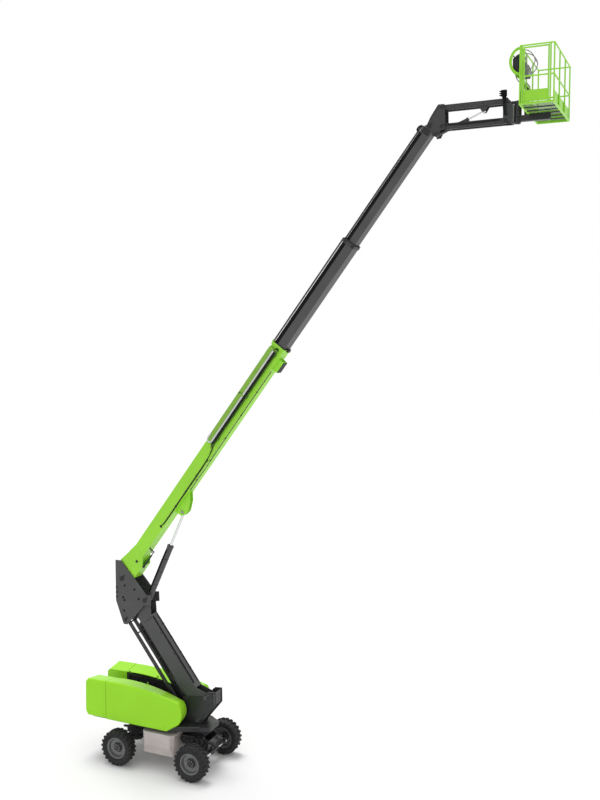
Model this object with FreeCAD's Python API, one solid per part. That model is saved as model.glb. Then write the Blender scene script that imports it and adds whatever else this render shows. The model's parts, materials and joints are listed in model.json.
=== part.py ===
"""Articulated telescopic boom lift: every piece is one STEP file, in millimetres.

X points forward, Y to the machine's left and Z up.  The origin is on the ground, below the centre
of the slewing ring.  The booms lie in the middle plane (Y = 0), so most of their pieces are outlines
in the X-Z plane that are given a thickness along Y.
"""
import FreeCAD, Part
import math
import os

os.makedirs("parts", exist_ok=True)
V = FreeCAD.Vector

# ---------------------------------------------------------------- driving dimensions (mm, degrees)
wheelbase = 2400.0
track = 1850.0
tyre_radius = 500.0
tyre_width = 360.0
rim_radius = 300.0
seat_gap = 0.3              # between pieces that rest on or in each other
pin_gap = 0.05              # radial clearance of a pin in its bore
slew_gap = 0.08             # radial clearance of the slewing spigot

chassis_length = 1020.0     # the deep box between the wheels
chassis_width = 1600.0
chassis_bottom = 420.0
chassis_top = 1050.0
chassis_wall = 12.0
neck_width = 560.0
neck_bottom = 660.0
neck_top = 960.0

lug_bore = 25.0             # tie-down lugs at the ends of the necks
lug_plate = 25.0
lug_side = 200.0
lug_reach = 120.0
lug_low = 770.0

kingpin_offset = 225.0      # from the wheel's middle plane inwards
steer_arm_length = 190.0

ring_outer = 520.0
ring_bore = 400.0
ring_top = 1130.0
deck_top = 1255.0
deck_rear = -2230.0
deck_front = 1400.0
deck_side = 700.0
tower_gap = 165.0           # middle plane to a tower plate's inner face
tower_plate = 25.0

hood_inner = 262.0          # half gap between the two hoods
hood_outer = 800.0
hood_bottom = 1150.0
hood_seam = -1710.0
hood_top_rear = 2285.0
hood_fall = 85.0            # how much lower a hood's top is on its inner side
hood_wall = 10.0
hood_round = 50.0
cowl_round = 40.0
seam_gap = 12.0
tail_end = -2410.0
panel_gap = 5.0
hinge_line = (264.0, 2225.0)        # hoods' hinge pins: distance from the middle plane, height
hinge_places = (-1600.0, -640.0)
hinge_pin = 6.0
hinge_eye = 12.0

riser_foot = (1220.0, 2050.0)
riser_angle = 127.35
riser_length = 3208.0
riser_depth = 440.0
riser_drop = 125.0          # from the pivot line down to the riser's top plate
riser_width = 300.0
riser_wall = 8.0
link_offset = (-662.0, -645.0)      # timing link's pivots, from the riser's pivots
link_depth = 110.0
link_bar = 30.0
link_side = 130.0           # middle plane to a link bar's centre
upright_gap = 215.0         # middle plane to an upright plate's inner face
upright_plate = 22.0
riser_cyl_foot = (950.0, 1345.0)
riser_cyl_eye = (2000.0, 730.0)     # along the riser and below its pivot line

boom_pivot = (-770.0, 550.0)        # from the riser's head pin
boom_angle = 53.0
boom_axis = 50.0            # the tubes' centre line above the pivot line
base_end = 8400.0
base_start = 560.0
base_width = 400.0
base_depth = 380.0
base_wall = 8.0
mid_start = 6700.0
mid_end = 11650.0
mid_wall = 6.0
mid_side_room = 17.0        # from the base section's wall to the middle section
mid_top_room = 14.0
mid_width = base_width - 2 * (base_wall + mid_side_room)
mid_depth = base_depth - 2 * (base_wall + mid_top_room)
fly_start = 10200.0
fly_end = 14950.0
fly_wall = 6.0
fly_side_room = 21.0        # from the middle section's wall to the fly section
fly_top_room = 20.0
fly_width = mid_width - 2 * (mid_wall + fly_side_room)
fly_depth = mid_depth - 2 * (mid_wall + fly_top_room)
pad_length = 140.0
pad_gap = 0.5
hose_rail_size = 34.0       # hose rails beside the booms' tops, each in its own lane
hose_rail_height = boom_axis + base_depth / 2 + 56.0
hose_lane = 62.0
tray_start = 5090.0         # hose tray on the base section's right side
tray_low = -30.0
tray_height = 120.0
tray_depth = 62.0
lift_eye = (2840.0, -340.0)         # in the boom's own axes
lift_barrel_radius = 92.0
lift_rod_radius = 42.0
lift_barrel_length = 1780.0

jib_pivot = 70.0            # jib base's hinge, beyond the fly section's end
jib_foot = (300.0, 410.0)   # upper arm's foot, from the jib base's hinge
jib_spread = 445.0          # upper arm's pins above the lower arm's
jib_length = 1510.0
jib_angle = 0.5
jib_side = 100.0            # middle plane to a jib bar's centre
jib_bar = 30.0
upper_arm_depth = 125.0
lower_arm_depth = 140.0
jib_cyl_foot = (-163.0, -171.0)        # from the lower arm's foot pin
jib_cyl_eye = (980.0, -150.0)       # along the upper arm and above its pins

turn_axis_gap = 260.0       # platform's turning axis, in front of the jib head's pins
basket_gap = 235.0          # turning axis to the basket's rear rail
basket_length = 770.0
basket_width = 2220.0
floor_rise = 146.0          # basket's floor above the lower jib arm's head pin
basket_height = 1240.0
rail_radius = 17.0
toe_height = 260.0
console_inset = 110.0       # control box, from the basket's right-hand side
console_width = 360.0
guard_depth = 240.0         # how far the console's guard stands out behind the rail

pin_radius = 40.0
small_pin = 25.0
gland_length = 45.0

# ---------------------------------------------------------------- helpers


def save(name, shape):
    """Write one named piece."""
    shape.exportStep("parts/" + name + ".step")


def box(x0, x1, y0, y1, z0, z1):
    return Part.makeBox(x1 - x0, y1 - y0, z1 - z0, V(x0, y0, z0))


def sheet(points, y0, y1):
    """A flat outline in the X-Z plane, thick from y0 to y1."""
    corners = [V(x, y0, z) for x, z in points]
    face = Part.Face(Part.makePolygon(corners + corners[:1]))
    return face.extrude(V(0, y1 - y0, 0))


def pair(points, inner, thickness):
    """The same plate on both sides of the middle plane."""
    return [sheet(points, inner, inner + thickness), sheet(points, -inner - thickness, -inner)]


def disc_y(centre, radius, y0, y1):
    return Part.makeCylinder(radius, y1 - y0, V(centre[0], y0, centre[1]), V(0, 1, 0))


def fuse(shapes):
    """One solid out of pieces that overlap or touch."""
    return shapes[0].multiFuse(shapes[1:]).removeSplitter()


class Axes:
    """A pair of axes in the X-Z plane: u along the given angle, v square to it, upwards-left."""

    def __init__(self, origin, angle):
        self.origin = origin
        self.angle = angle
        self.cos = math.cos(math.radians(angle))
        self.sin = math.sin(math.radians(angle))

    def at(self, u, v=0.0):
        x, z = self.origin
        return (x + u * self.cos - v * self.sin, z + u * self.sin + v * self.cos)

    def outline(self, points):
        return [self.at(u, v) for u, v in points]

    def bar(self, u0, u1, v0, v1, y0, y1):
        """A straight bar along u."""
        return sheet(self.outline([(u0, v0), (u1, v0), (u1, v1), (u0, v1)]), y0, y1)

    def rod(self, u0, u1, radius):
        """A round rod along u, on the axis."""
        x, z = self.at(u0)
        return Part.makeCylinder(radius, u1 - u0, V(x, 0, z), V(self.cos, 0, self.sin))

    def tube(self, u0, u1, depth, width, wall, v=0.0):
        """A rectangular tube along u, open at both ends."""
        outer = self.bar(u0, u1, v - depth / 2, v + depth / 2, -width / 2, width / 2)
        inner = self.bar(u0 - 1, u1 + 1, v - depth / 2 + wall, v + depth / 2 - wall,
                         -width / 2 + wall, width / 2 - wall)
        return outer.cut(inner)


def bored(shape, centre, radius, gap=pin_gap):
    """Bore a hole for a pin right across a piece."""
    return shape.cut(disc_y(centre, radius + gap, -1500, 1500))


def direction(a, b):
    return math.degrees(math.atan2(b[1] - a[1], b[0] - a[0]))


def distance(a, b):
    return math.hypot(b[0] - a[0], b[1] - a[1])


# ---------------------------------------------------------------- places worked out from the sizes
riser = Axes(riser_foot, riser_angle)
riser_head = riser.at(riser_length)
link_foot = (riser_foot[0] + link_offset[0], riser_foot[1] + link_offset[1])
link = Axes(link_foot, riser_angle)
link_head = link.at(riser_length)
riser_eye = riser.at(riser_cyl_eye[0], riser_cyl_eye[1])
riser_cyl = Axes(riser_cyl_foot, direction(riser_cyl_foot, riser_eye))
riser_cyl_length = distance(riser_cyl_foot, riser_eye)

boom_foot = (riser_head[0] + boom_pivot[0], riser_head[1] + boom_pivot[1])
boom = Axes(boom_foot, boom_angle)
boom_eye = boom.at(lift_eye[0], lift_eye[1])
lift_cyl = Axes(riser_head, direction(riser_head, boom_eye))
lift_cyl_length = distance(riser_head, boom_eye)

jib_hinge = boom.at(fly_end + jib_pivot, boom_axis)
upper_foot = (jib_hinge[0] + jib_foot[0], jib_hinge[1] + jib_foot[1])
lower_foot = (upper_foot[0], upper_foot[1] - jib_spread)
upper_arm = Axes(upper_foot, jib_angle)
lower_arm = Axes(lower_foot, jib_angle)
upper_head = upper_arm.at(jib_length)
lower_head = lower_arm.at(jib_length)
jib_cyl_pin = (lower_foot[0] + jib_cyl_foot[0], lower_foot[1] + jib_cyl_foot[1])
jib_eye = upper_arm.at(jib_cyl_eye[0], jib_cyl_eye[1])
jib_cyl = Axes(jib_cyl_pin, direction(jib_cyl_pin, jib_eye))
jib_cyl_length = distance(jib_cyl_pin, jib_eye)

turn_x = upper_head[0] + turn_axis_gap
basket_rear = turn_x + basket_gap
basket_front = basket_rear + basket_length
basket_side = basket_width / 2
basket_floor = round(lower_head[1] + floor_rise)      # to a whole millimetre
basket_top = basket_floor + basket_height

wheel_side = track / 2
front_axle_x = wheelbase / 2
axle_z = tyre_radius

# ---------------------------------------------------------------- undercarriage


def chassis_frame():
    """Deep hollow box between the wheels, with a narrower neck out to each axle."""
    half = chassis_length / 2
    side = chassis_width / 2
    chamfer = 90.0
    body = box(-half, half, -side, side, chassis_bottom, chassis_top)
    corners = [edge for edge in body.Edges if edge.Length > chassis_top - chassis_bottom - 1
               and abs(edge.Vertexes[0].Z - edge.Vertexes[-1].Z) > 1]
    body = body.makeChamfer(chamfer, corners)
    for sign in (1, -1):
        scoop_radius = 700.0
        scoop = Part.makeCylinder(scoop_radius, chassis_length * 2,
                                  V(-chassis_length, sign * (side + scoop_radius - 70.0), chassis_bottom - 60.0),
                                  V(1, 0, 0))
        body = body.cut(scoop)
    inner = box(-half + chassis_wall, half - chassis_wall, -side + 2 * chamfer, side - 2 * chamfer,
                chassis_bottom + chassis_wall, chassis_top - chassis_wall)
    body = body.cut(inner)
    reach = front_axle_x + 150.0
    neck = box(half - chassis_wall, reach, -neck_width / 2, neck_width / 2, neck_bottom, neck_top)
    room = box(half, reach - chassis_wall, -neck_width / 2 + chassis_wall, neck_width / 2 - chassis_wall,
               neck_bottom + chassis_wall, neck_top - chassis_wall)
    nose_cut = sheet([(reach - 160, neck_top), (reach + 1, neck_top - 120), (reach + 1, neck_top + 1)],
                     -neck_width, neck_width)
    lugs = [tie_down_lug(reach, sign) for sign in (1, -1)]
    front = fuse([neck.cut(room).cut(nose_cut)] + lugs)
    rear = front.mirror(V(0, 0, 0), V(1, 0, 0))
    return fuse([body, front, rear])


def tie_down_lug(reach, sign):
    """Flat plate on the neck's end, bored upright for a shackle or a tie-down hook."""
    x, y = reach + lug_reach, sign * lug_side
    root = box(reach - 60, x, y - 55, y + 55, lug_low, lug_low + lug_plate)
    nose = Part.makeCylinder(55, lug_plate, V(x, y, lug_low))
    bore = Part.makeCylinder(lug_bore, 3 * lug_plate, V(x, y, lug_low - lug_plate))
    return root.fuse(nose).cut(bore)


def axle_beam(x):
    """Axle casing with its differential and two seats under the neck."""
    half = wheel_side - kingpin_offset - 105.0
    beam = box(x - 75, x + 75, -half, half, axle_z - 80, axle_z + 80)
    casing = Part.makeSphere(150.0, V(x, 0, axle_z - 20))
    seats = [box(x - 110, x + 110, y - 60, y + 60, axle_z + 60, neck_bottom) for y in (-190, 190)]
    return [beam, casing] + seats, half


def front_axle():
    """The steered axle: its forked ends hold the kingpins."""
    pieces, half = axle_beam(front_axle_x)
    kingpin_y = wheel_side - kingpin_offset
    for sign in (1, -1):
        y0, y1 = sorted((sign * (half - 25), sign * (half + 2)))
        root = box(front_axle_x - 75, front_axle_x + 75, y0, y1, axle_z - 130, axle_z + 130)
        pieces.append(root)
        for z in (axle_z - 130, axle_z + 100):
            tongue = box(front_axle_x - 60, front_axle_x + 60, sign * half - 10, sign * half + 10, z, z + 30)
            nose = Part.makeCylinder(60, 30, V(front_axle_x, sign * kingpin_y, z))
            web = box(front_axle_x - 60, front_axle_x + 60, min(sign * half, sign * kingpin_y),
                      max(sign * half, sign * kingpin_y), z, z + 30)
            pieces += [tongue, nose, web]
        pieces.append(Part.makeCylinder(small_pin, 260, V(front_axle_x, sign * kingpin_y, axle_z - 130)))
    # the steering cylinder's body lies in front of the beam
    bracket_x = front_axle_x + steer_arm_length
    pieces.append(Part.makeCylinder(38, 420, V(bracket_x, -210, axle_z), V(0, 1, 0)))
    for y in (-150, 110):
        pieces.append(box(front_axle_x + 60, bracket_x, y, y + 40, axle_z - 30, axle_z + 30))
    shape = fuse(pieces)
    return shape.cut(Part.makeCylinder(20 + pin_gap, 500, V(bracket_x, -250, axle_z), V(0, 1, 0)))


def rear_axle():
    """The fixed axle: its ends are the spindles that the rear wheels turn on."""
    pieces, half = axle_beam(-front_axle_x)
    for sign in (1, -1):
        start = V(-front_axle_x, sign * (half - 5), axle_z)
        pieces.append(Part.makeCylinder(95, 45, start, V(0, sign, 0)))
        pieces.append(Part.makeCylinder(60, spindle_end() - half, start, V(0, sign, 0)))
    return fuse(pieces)


def spindle_end():
    """How far a spindle reaches into its hub, from the middle plane."""
    return wheel_side + 20.0


def knuckle(sign):
    """Steering knuckle: a block on the kingpin, the wheel's spindle and the steering arm."""
    kingpin_y = sign * (wheel_side - kingpin_offset)
    block = Part.makeCylinder(70, 200 - 2 * seat_gap, V(front_axle_x, kingpin_y, axle_z - 100 + seat_gap))
    spindle = Part.makeCylinder(60, spindle_end() - abs(kingpin_y), V(front_axle_x, kingpin_y, axle_z),
                                V(0, sign, 0))
    arm_y = kingpin_y - sign * 20
    arm = box(front_axle_x, front_axle_x + steer_arm_length, min(arm_y, arm_y - sign * 30),
              max(arm_y, arm_y - sign * 30), axle_z + 30, axle_z + 60)
    tip = Part.makeCylinder(30, 30, V(front_axle_x + steer_arm_length, kingpin_y - sign * 35, axle_z + 30))
    shape = fuse([block, spindle, arm, tip])
    return shape.cut(Part.makeCylinder(small_pin + pin_gap, 400, V(front_axle_x, kingpin_y, axle_z - 200)))


def tie_rod():
    """The double-ended steering rod, with an eye below each knuckle's arm."""
    x = front_axle_x + steer_arm_length
    reach = wheel_side - kingpin_offset - 35.0
    rod = Part.makeCylinder(20, 2 * reach, V(x, -reach, axle_z), V(0, 1, 0))
    eyes = [Part.makeCylinder(28, 48, V(x, sign * reach, axle_z - 24)) for sign in (1, -1)]
    return fuse([rod] + eyes)


def turned(profile, x, y):
    """Spin a (radius, width) outline about a wheel's axle."""
    points = [V(x, y + w, axle_z + r) for r, w in profile]
    face = Part.Face(Part.makePolygon(points + points[:1]))
    return face.revolve(V(x, y, axle_z), V(0, 1, 0), 360)


def tyre(x, y):
    """Solid-filled rough-terrain tyre with sloped shoulders."""
    half = tyre_width / 2
    seat = rim_radius + seat_gap
    shoulder = 45.0
    profile = [(seat, -half + 45), (seat, half - 45), (seat + 35, half - 8), (tyre_radius - 90, half),
               (tyre_radius - shoulder, half - 12), (tyre_radius, half - shoulder), (tyre_radius, -half + shoulder),
               (tyre_radius - shoulder, -half + 12), (tyre_radius - 90, -half), (seat + 35, -half + 8)]
    return turned(profile, x, y)


def rim(x, y, sign):
    """Rim barrel, dished disc and the hub that turns on the spindle."""
    half = tyre_width / 2 - 50.0
    wall = 12.0
    barrel = [(rim_radius - wall, -half), (rim_radius, -half), (rim_radius, half), (rim_radius - wall, half)]
    disc_at = sign * 30.0
    disc = [(60.0, disc_at - 8), (rim_radius - wall + 1, disc_at - 8), (rim_radius - wall + 1, disc_at + 8),
            (60.0, disc_at + 8)]
    hub_in = -sign * 60.0
    hub_out = sign * 120.0
    hub = [(60.0 + pin_gap, hub_in), (60.0 + pin_gap, sign * 22.0), (0.0, sign * 22.0), (0.0, hub_out),
           (95.0, hub_out), (125.0, sign * 80.0), (125.0, hub_in)]
    pieces = [turned(barrel, x, y), turned(hub, x, y)]
    plate = turned(disc, x, y).cut(Part.makeCylinder(60.0 + pin_gap, 200, V(x, y - 100, axle_z), V(0, 1, 0)))
    return fuse(pieces + [plate])


def slewing_ring():
    ring = Part.makeCylinder(ring_outer, ring_top - chassis_top, V(0, 0, chassis_top))
    bore = Part.makeCylinder(ring_bore, ring_top, V(0, 0, 0))
    return ring.cut(bore)


# ---------------------------------------------------------------- turntable


def turntable_frame():
    """Hollow deck on the slewing spigot, with the two tower plates that carry the riser."""
    low = ring_top + seat_gap
    wall = 14.0
    side = deck_side
    outline = [(deck_rear, -side), (300, -side), (deck_front - 250, -400), (deck_front, -250), (deck_front, 250),
               (deck_front - 250, 400), (300, side), (deck_rear, side)]
    corners = [V(x, y, low) for x, y in outline]
    deck = Part.Face(Part.makePolygon(corners + corners[:1])).extrude(V(0, 0, deck_top - low))
    room = box(deck_rear + wall, 250, -side + wall, side - wall, low + wall, deck_top - wall)
    deck = deck.cut(room)
    spigot = Part.makeCylinder(ring_bore - slew_gap, low - chassis_top - 20, V(0, 0, chassis_top + 20))
    spigot = spigot.cut(Part.makeCylinder(ring_bore - 60, 400, V(0, 0, chassis_top - 100)))
    foot_x, foot_z = riser_foot
    plate = [(link_foot[0] - 130, deck_top - 5), (link_foot[0] - 130, link_foot[1] + 90),
             (link_foot[0] - 75, foot_z - 90), (foot_x - 60, foot_z + 15), (foot_x + 60, foot_z + 165),
             (foot_x + 325, foot_z + 205), (foot_x + 330, foot_z - 175), (foot_x - 120, deck_top + 75),
             (foot_x - 160, deck_top - 5)]
    pieces = [deck, spigot] + pair(plate, tower_gap, tower_plate)
    pieces.append(box(foot_x + 290, foot_x + 310, -tower_gap - 1, tower_gap + 1, foot_z - 160, foot_z + 190))
    pieces.append(disc_y(riser_foot, pin_radius, -tower_gap - 40, tower_gap + 40))
    pieces.append(disc_y(riser_cyl_foot, pin_radius, -tower_gap - 5, tower_gap + 5))
    stub_in = link_side - link_bar / 2 - 5
    for sign in (1, -1):
        y0, y1 = sorted((sign * stub_in, sign * (tower_gap + 5)))
        pieces.append(disc_y(link_foot, small_pin, y0, y1))
    return fuse(pieces)


def counterweight():
    """Cast blocks behind the deck, joined by a low bar; pads on them carry the tail cowls."""
    rear = tail_end + 90
    low = ring_top + 40.0
    top = 1900.0
    inner = hood_inner + 25.0
    outer = hood_outer - 40.0
    bar = box(rear, deck_rear - seat_gap, -600, 600, low, deck_top)
    pieces = [bar]
    for sign in (1, -1):
        y0, y1 = sorted((sign * inner, sign * outer))
        pieces.append(box(rear, hood_seam - 60, y0, y1, deck_top + seat_gap, top))
        y0, y1 = sorted((sign * inner, sign * 600.0))
        pieces.append(box(rear, deck_rear - seat_gap, y0, y1, low, deck_top + 1))
        for x in (rear + 60, hood_seam - 160):
            y0, y1 = sorted((sign * (outer - 1), sign * (hood_outer - hood_wall - seat_gap)))
            pieces.append(box(x, x + 60, y0, y1, top - 160, top - 60))
            y0, y1 = sorted((sign * (inner + 1), sign * (hood_inner + hood_wall + seat_gap)))
            pieces.append(box(x, x + 60, y0, y1, top - 160, top - 60))
    return fuse(pieces)


def hood_profile(y, fall, inset):
    """A hood's side outline at distance y from the middle plane; fall lowers its top and nose."""
    x0 = hood_seam + seam_gap / 2 + inset
    bottom = hood_bottom + inset
    back = 1.5 * fall
    rear = V(x0, y, hood_top_rear - fall - inset)
    crown = V(-560, y, 2250 - 1.1 * fall - inset)
    brow = V(690 - back - inset, y, 2050 - 2.0 * fall - inset)
    nose = V(805 - 1.2 * back - inset, y, 1720 - fall)
    chin = V(690 - back - inset, y, 1390 + inset)
    belly = V(300, y, bottom)
    low = V(x0, y, bottom)
    edges = [Part.Arc(rear, crown, brow).toShape(), Part.Arc(brow, nose, chin).toShape(),
             Part.LineSegment(chin, belly).toShape(), Part.LineSegment(belly, low).toShape(),
             Part.LineSegment(low, rear).toShape()]
    return Part.Wire(edges)


def cowl_profile(y, fall, inset):
    """A tail cowl's side outline at distance y from the middle plane."""
    x1 = hood_seam - seam_gap / 2 - inset
    top = hood_top_rear - fall - inset
    bottom = hood_bottom + 30 + inset
    rear = tail_end + inset
    points = [(x1, bottom), (x1, top), (rear + 80, top - 12), (rear + 12, top - 80), (rear, bottom + 90),
              (rear + 60, bottom)]
    corners = [V(x, y, z) for x, z in points]
    return Part.makePolygon(corners + corners[:1])


def cover(profile, inner_wall, rounding):
    """Outside and inside of a thin pressed cover, with a rounded outer edge."""
    outer = Part.makeLoft([profile(hood_inner, hood_fall, 0.0), profile(hood_outer, 0.0, 0.0)], True, True)
    side = hood_outer - hood_wall
    inner = Part.makeLoft([profile(hood_inner + inner_wall, hood_fall, hood_wall), profile(side, 0.0, hood_wall)],
                          True, True)
    return round_outer(outer, hood_outer, rounding), round_outer(inner, side, rounding - hood_wall)


def hood(sign):
    """Pressed cover of the side, top and nose; its two lugs turn on the inner panel's hinge pins."""
    x0 = hood_seam + seam_gap / 2
    outer, inner = cover(hood_profile, 0.0, hood_round)
    shell = outer.cut(inner)
    open_low = deck_top + 12
    shell = shell.cut(box(x0 - 50, x0 + 2 * hood_wall, hood_inner - 50, hood_outer - 60, 0,
                          hood_top_rear - hood_fall - 2 * hood_wall))
    shell = shell.cut(box(x0 - 50, 720, hood_inner - 50, hood_outer - 60, 0, open_low))
    y, z = hinge_line
    for x in hinge_places:
        lug = box(x, x + 20, hood_inner, y + hinge_eye, hood_top_rear - 2 * hood_fall, z)
        lug = lug.fuse(Part.makeCylinder(hinge_eye, 20, V(x, y, z), V(1, 0, 0)))
        shell = shell.fuse(lug)
        shell = shell.cut(Part.makeCylinder(hinge_pin + pin_gap, 40, V(x - 10, y, z), V(1, 0, 0)))
    return shell if sign > 0 else shell.mirror(V(0, 0, 0), V(0, 1, 0))


def round_outer(shape, y, radius):
    """Round the long edges of a cover on its outer side."""
    edges = [edge for edge in shape.Edges
             if all(abs(vertex.Y - y) < 0.01 for vertex in edge.Vertexes)
             and abs(edge.Vertexes[0].X - edge.Vertexes[-1].X) > 20]
    return shape.makeFillet(radius, edges)


def tail_cowl(sign):
    """Rounded cover over one counterweight block, resting on the block's pads."""
    outer, inner = cover(cowl_profile, hood_wall, cowl_round)
    mouth = box(tail_end + 40, hood_seam, hood_inner - 50, hood_outer - 60, 0, deck_top + 12)
    back = box(hood_seam - 30, hood_seam, hood_inner + hood_wall, hood_outer - 60, 0,
               hood_top_rear - hood_fall - 2 * hood_wall)
    shell = outer.cut(inner).cut(mouth).cut(back)
    return shell if sign > 0 else shell.mirror(V(0, 0, 0), V(0, 1, 0))


def inner_panel(sign):
    """The fixed wall beside the riser's channel: a wide grille opening and the hood's hinge pins."""
    y1 = hood_inner - panel_gap
    y0 = y1 - 3.0
    outline = [(hood_seam + 20, deck_top + seat_gap), (hood_seam + 20, 2178), (-1100, 2165), (-500, 2120),
               (0, 2030), (330, 1890), (410, 1800), (410, deck_top + seat_gap)]
    panel = sheet(outline, y0, y1)
    window = sheet([(-1640, 1700), (-1640, 2120), (-1100, 2108), (-500, 2064), (0, 1975), (300, 1840), (300, 1700)],
                   y0 - 1, y1 + 1)
    post = sheet([(-520, 1690), (-520, 2110), (-480, 2110), (-480, 1690)], y0, y1)
    pieces = [panel.cut(window), post]
    y, z = hinge_line
    for x in hinge_places:
        pieces.append(box(x - 30, x - 15, y0, y1, 2100, z))
        pieces.append(Part.makeCylinder(hinge_eye, 15, V(x - 30, y, z), V(1, 0, 0)))
        pieces.append(Part.makeCylinder(hinge_pin, 60, V(x - 30, y, z), V(1, 0, 0)))
    wall = fuse(pieces)
    return wall if sign > 0 else wall.mirror(V(0, 0, 0), V(0, 1, 0))


def engine():
    """The engine and pump, as one block on the left of the deck."""
    return box(-1150, -400, 340, 660, deck_top + seat_gap, 1880)


def tanks():
    """Fuel tank and hydraulic tank on the right of the deck."""
    fuel = box(-1500, -900, -600, -350, deck_top + seat_gap, 1755)
    oil = box(-820, -200, -600, -350, deck_top + seat_gap, 1800)
    return Part.makeCompound([fuel, oil])


# ---------------------------------------------------------------- lower boom


def riser_boom():
    """Box-section lower boom; its side plates end in ears that take the pins."""
    low = riser_drop + riser_depth
    ear = 105.0
    side = riser.outline([(-30, -ear + 10), (60, -ear + 10), (380, riser_drop), (riser_length - 420, riser_drop),
                          (riser_length - 90, -ear + 10), (riser_length + 40, -ear + 10),
                          (riser_length + ear - 10, -10), (riser_length + ear - 30, 90), (riser_length - 130, 360),
                          (riser_length - 240, low), (750, low), (250, low - 45), (60, 190), (-ear + 10, 60),
                          (-ear + 10, -30)])
    plate = 15.0
    half = riser_width / 2
    pieces = pair(side, half - plate, plate)
    pieces.append(riser.bar(380, riser_length - 420, riser_drop, riser_drop + riser_wall, -half, half))
    pieces.append(riser.bar(750, riser_length - 240, low - riser_wall, low, -half, half))
    slope = riser.outline([(250, low - 45), (750, low), (750, low - riser_wall), (250, low - 45 - riser_wall)])
    pieces.append(sheet(slope, -half, half))
    pieces.append(riser.bar(380, 390, riser_drop, low - 45, -half + 1, half - 1))
    pieces.append(riser.bar(riser_length - 430, riser_length - 420, riser_drop, low, -half + 1, half - 1))
    for centre, reach in ((riser_foot, tower_gap), (riser_head, upright_gap)):
        for sign in (1, -1):
            y0, y1 = sorted((sign * (half - 1), sign * (reach - 3)))
            pieces.append(disc_y(centre, 75, y0, y1))
    eye_u, eye_v = riser_cyl_eye
    cheek = riser.outline([(eye_u - 160, low - 2), (eye_u - 55, eye_v + 25), (eye_u - 25, eye_v + 45),
                           (eye_u + 25, eye_v + 45), (eye_u + 55, eye_v + 25), (eye_u + 160, low - 2)])
    pieces += pair(cheek, 45, 18)
    pieces += [disc_y(riser_eye, 40, 44, 75), disc_y(riser_eye, 40, -75, -44)]
    shape = fuse(pieces)
    for centre in (riser_foot, riser_head):
        shape = bored(shape, centre, pin_radius)
    return shape


def timing_link():
    """Two flat bars that keep the upright vertical, joined by two cross tubes."""
    half = link_depth / 2
    bars = []
    for sign in (1, -1):
        y0, y1 = sorted((sign * (link_side - link_bar / 2), sign * (link_side + link_bar / 2)))
        bars.append(link.bar(0, riser_length, -half, half, y0, y1))
        bars += [disc_y(end, half, y0, y1) for end in (link_foot, link_head)]
    ties = [disc_y(link.at(u), 22, -link_side, link_side) for u in (riser_length - 500, riser_length - 120)]
    shape = fuse(bars + ties)
    for end in (link_foot, link_head):
        shape = bored(shape, end, small_pin)
    return shape


def cylinder_barrel(axes, end, radius, rod_radius, eye_radius, eye_half, pin, wall=10.0):
    """A hydraulic barrel with its foot eye, bored for the rod."""
    tube = axes.rod(eye_radius - 10, end, radius)
    gland = axes.rod(end - gland_length, end, radius + 3)
    eye = disc_y(axes.origin, eye_radius, -eye_half, eye_half)
    shape = fuse([tube, gland, eye])
    bore = axes.rod(eye_radius + 15, end - gland_length, radius - wall)
    mouth = axes.rod(end - gland_length - 1, end + 1, rod_radius + pin_gap)
    return bored(shape.cut(bore).cut(mouth), axes.origin, pin)


def cylinder_rod(axes, start, length, radius, piston_radius, eye_radius, eye_half, piston=40.0):
    """A piston rod; its eye lies between the lug's cheeks."""
    rod = axes.rod(start, length - eye_radius + 10, radius)
    head = axes.rod(start, start + piston, piston_radius)
    eye = disc_y(axes.at(length), eye_radius, -eye_half, eye_half)
    return fuse([rod, head, eye])


def upright():
    """Two kite-shaped plates, upright at every riser angle, with the pins between them."""
    x, z = riser_head
    plate = [(x - 980, z + 1080), (x - 780, z + 1080), (x + 60, z + 160), (x + 190, z + 170), (x + 200, z - 110),
             (x - 20, z - 150), (x - 610, z - 780), (x - 730, z - 770), (x - 980, z - 110)]
    pieces = pair(plate, upright_gap, upright_plate)
    pin_half = upright_gap + upright_plate + 8
    pieces += [disc_y(centre, radius, -pin_half, pin_half) for centre, radius in
               ((riser_head, pin_radius), (boom_foot, pin_radius + 5), (link_head, small_pin))]
    pieces.append(box(x - 955, x - 943, -upright_gap - 1, upright_gap + 1, z - 60, z + 350))
    pieces.append(disc_y((x - 900, z + 20), 35, -upright_gap - 1, upright_gap + 1))
    return fuse(pieces)


# ---------------------------------------------------------------- main boom


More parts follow.
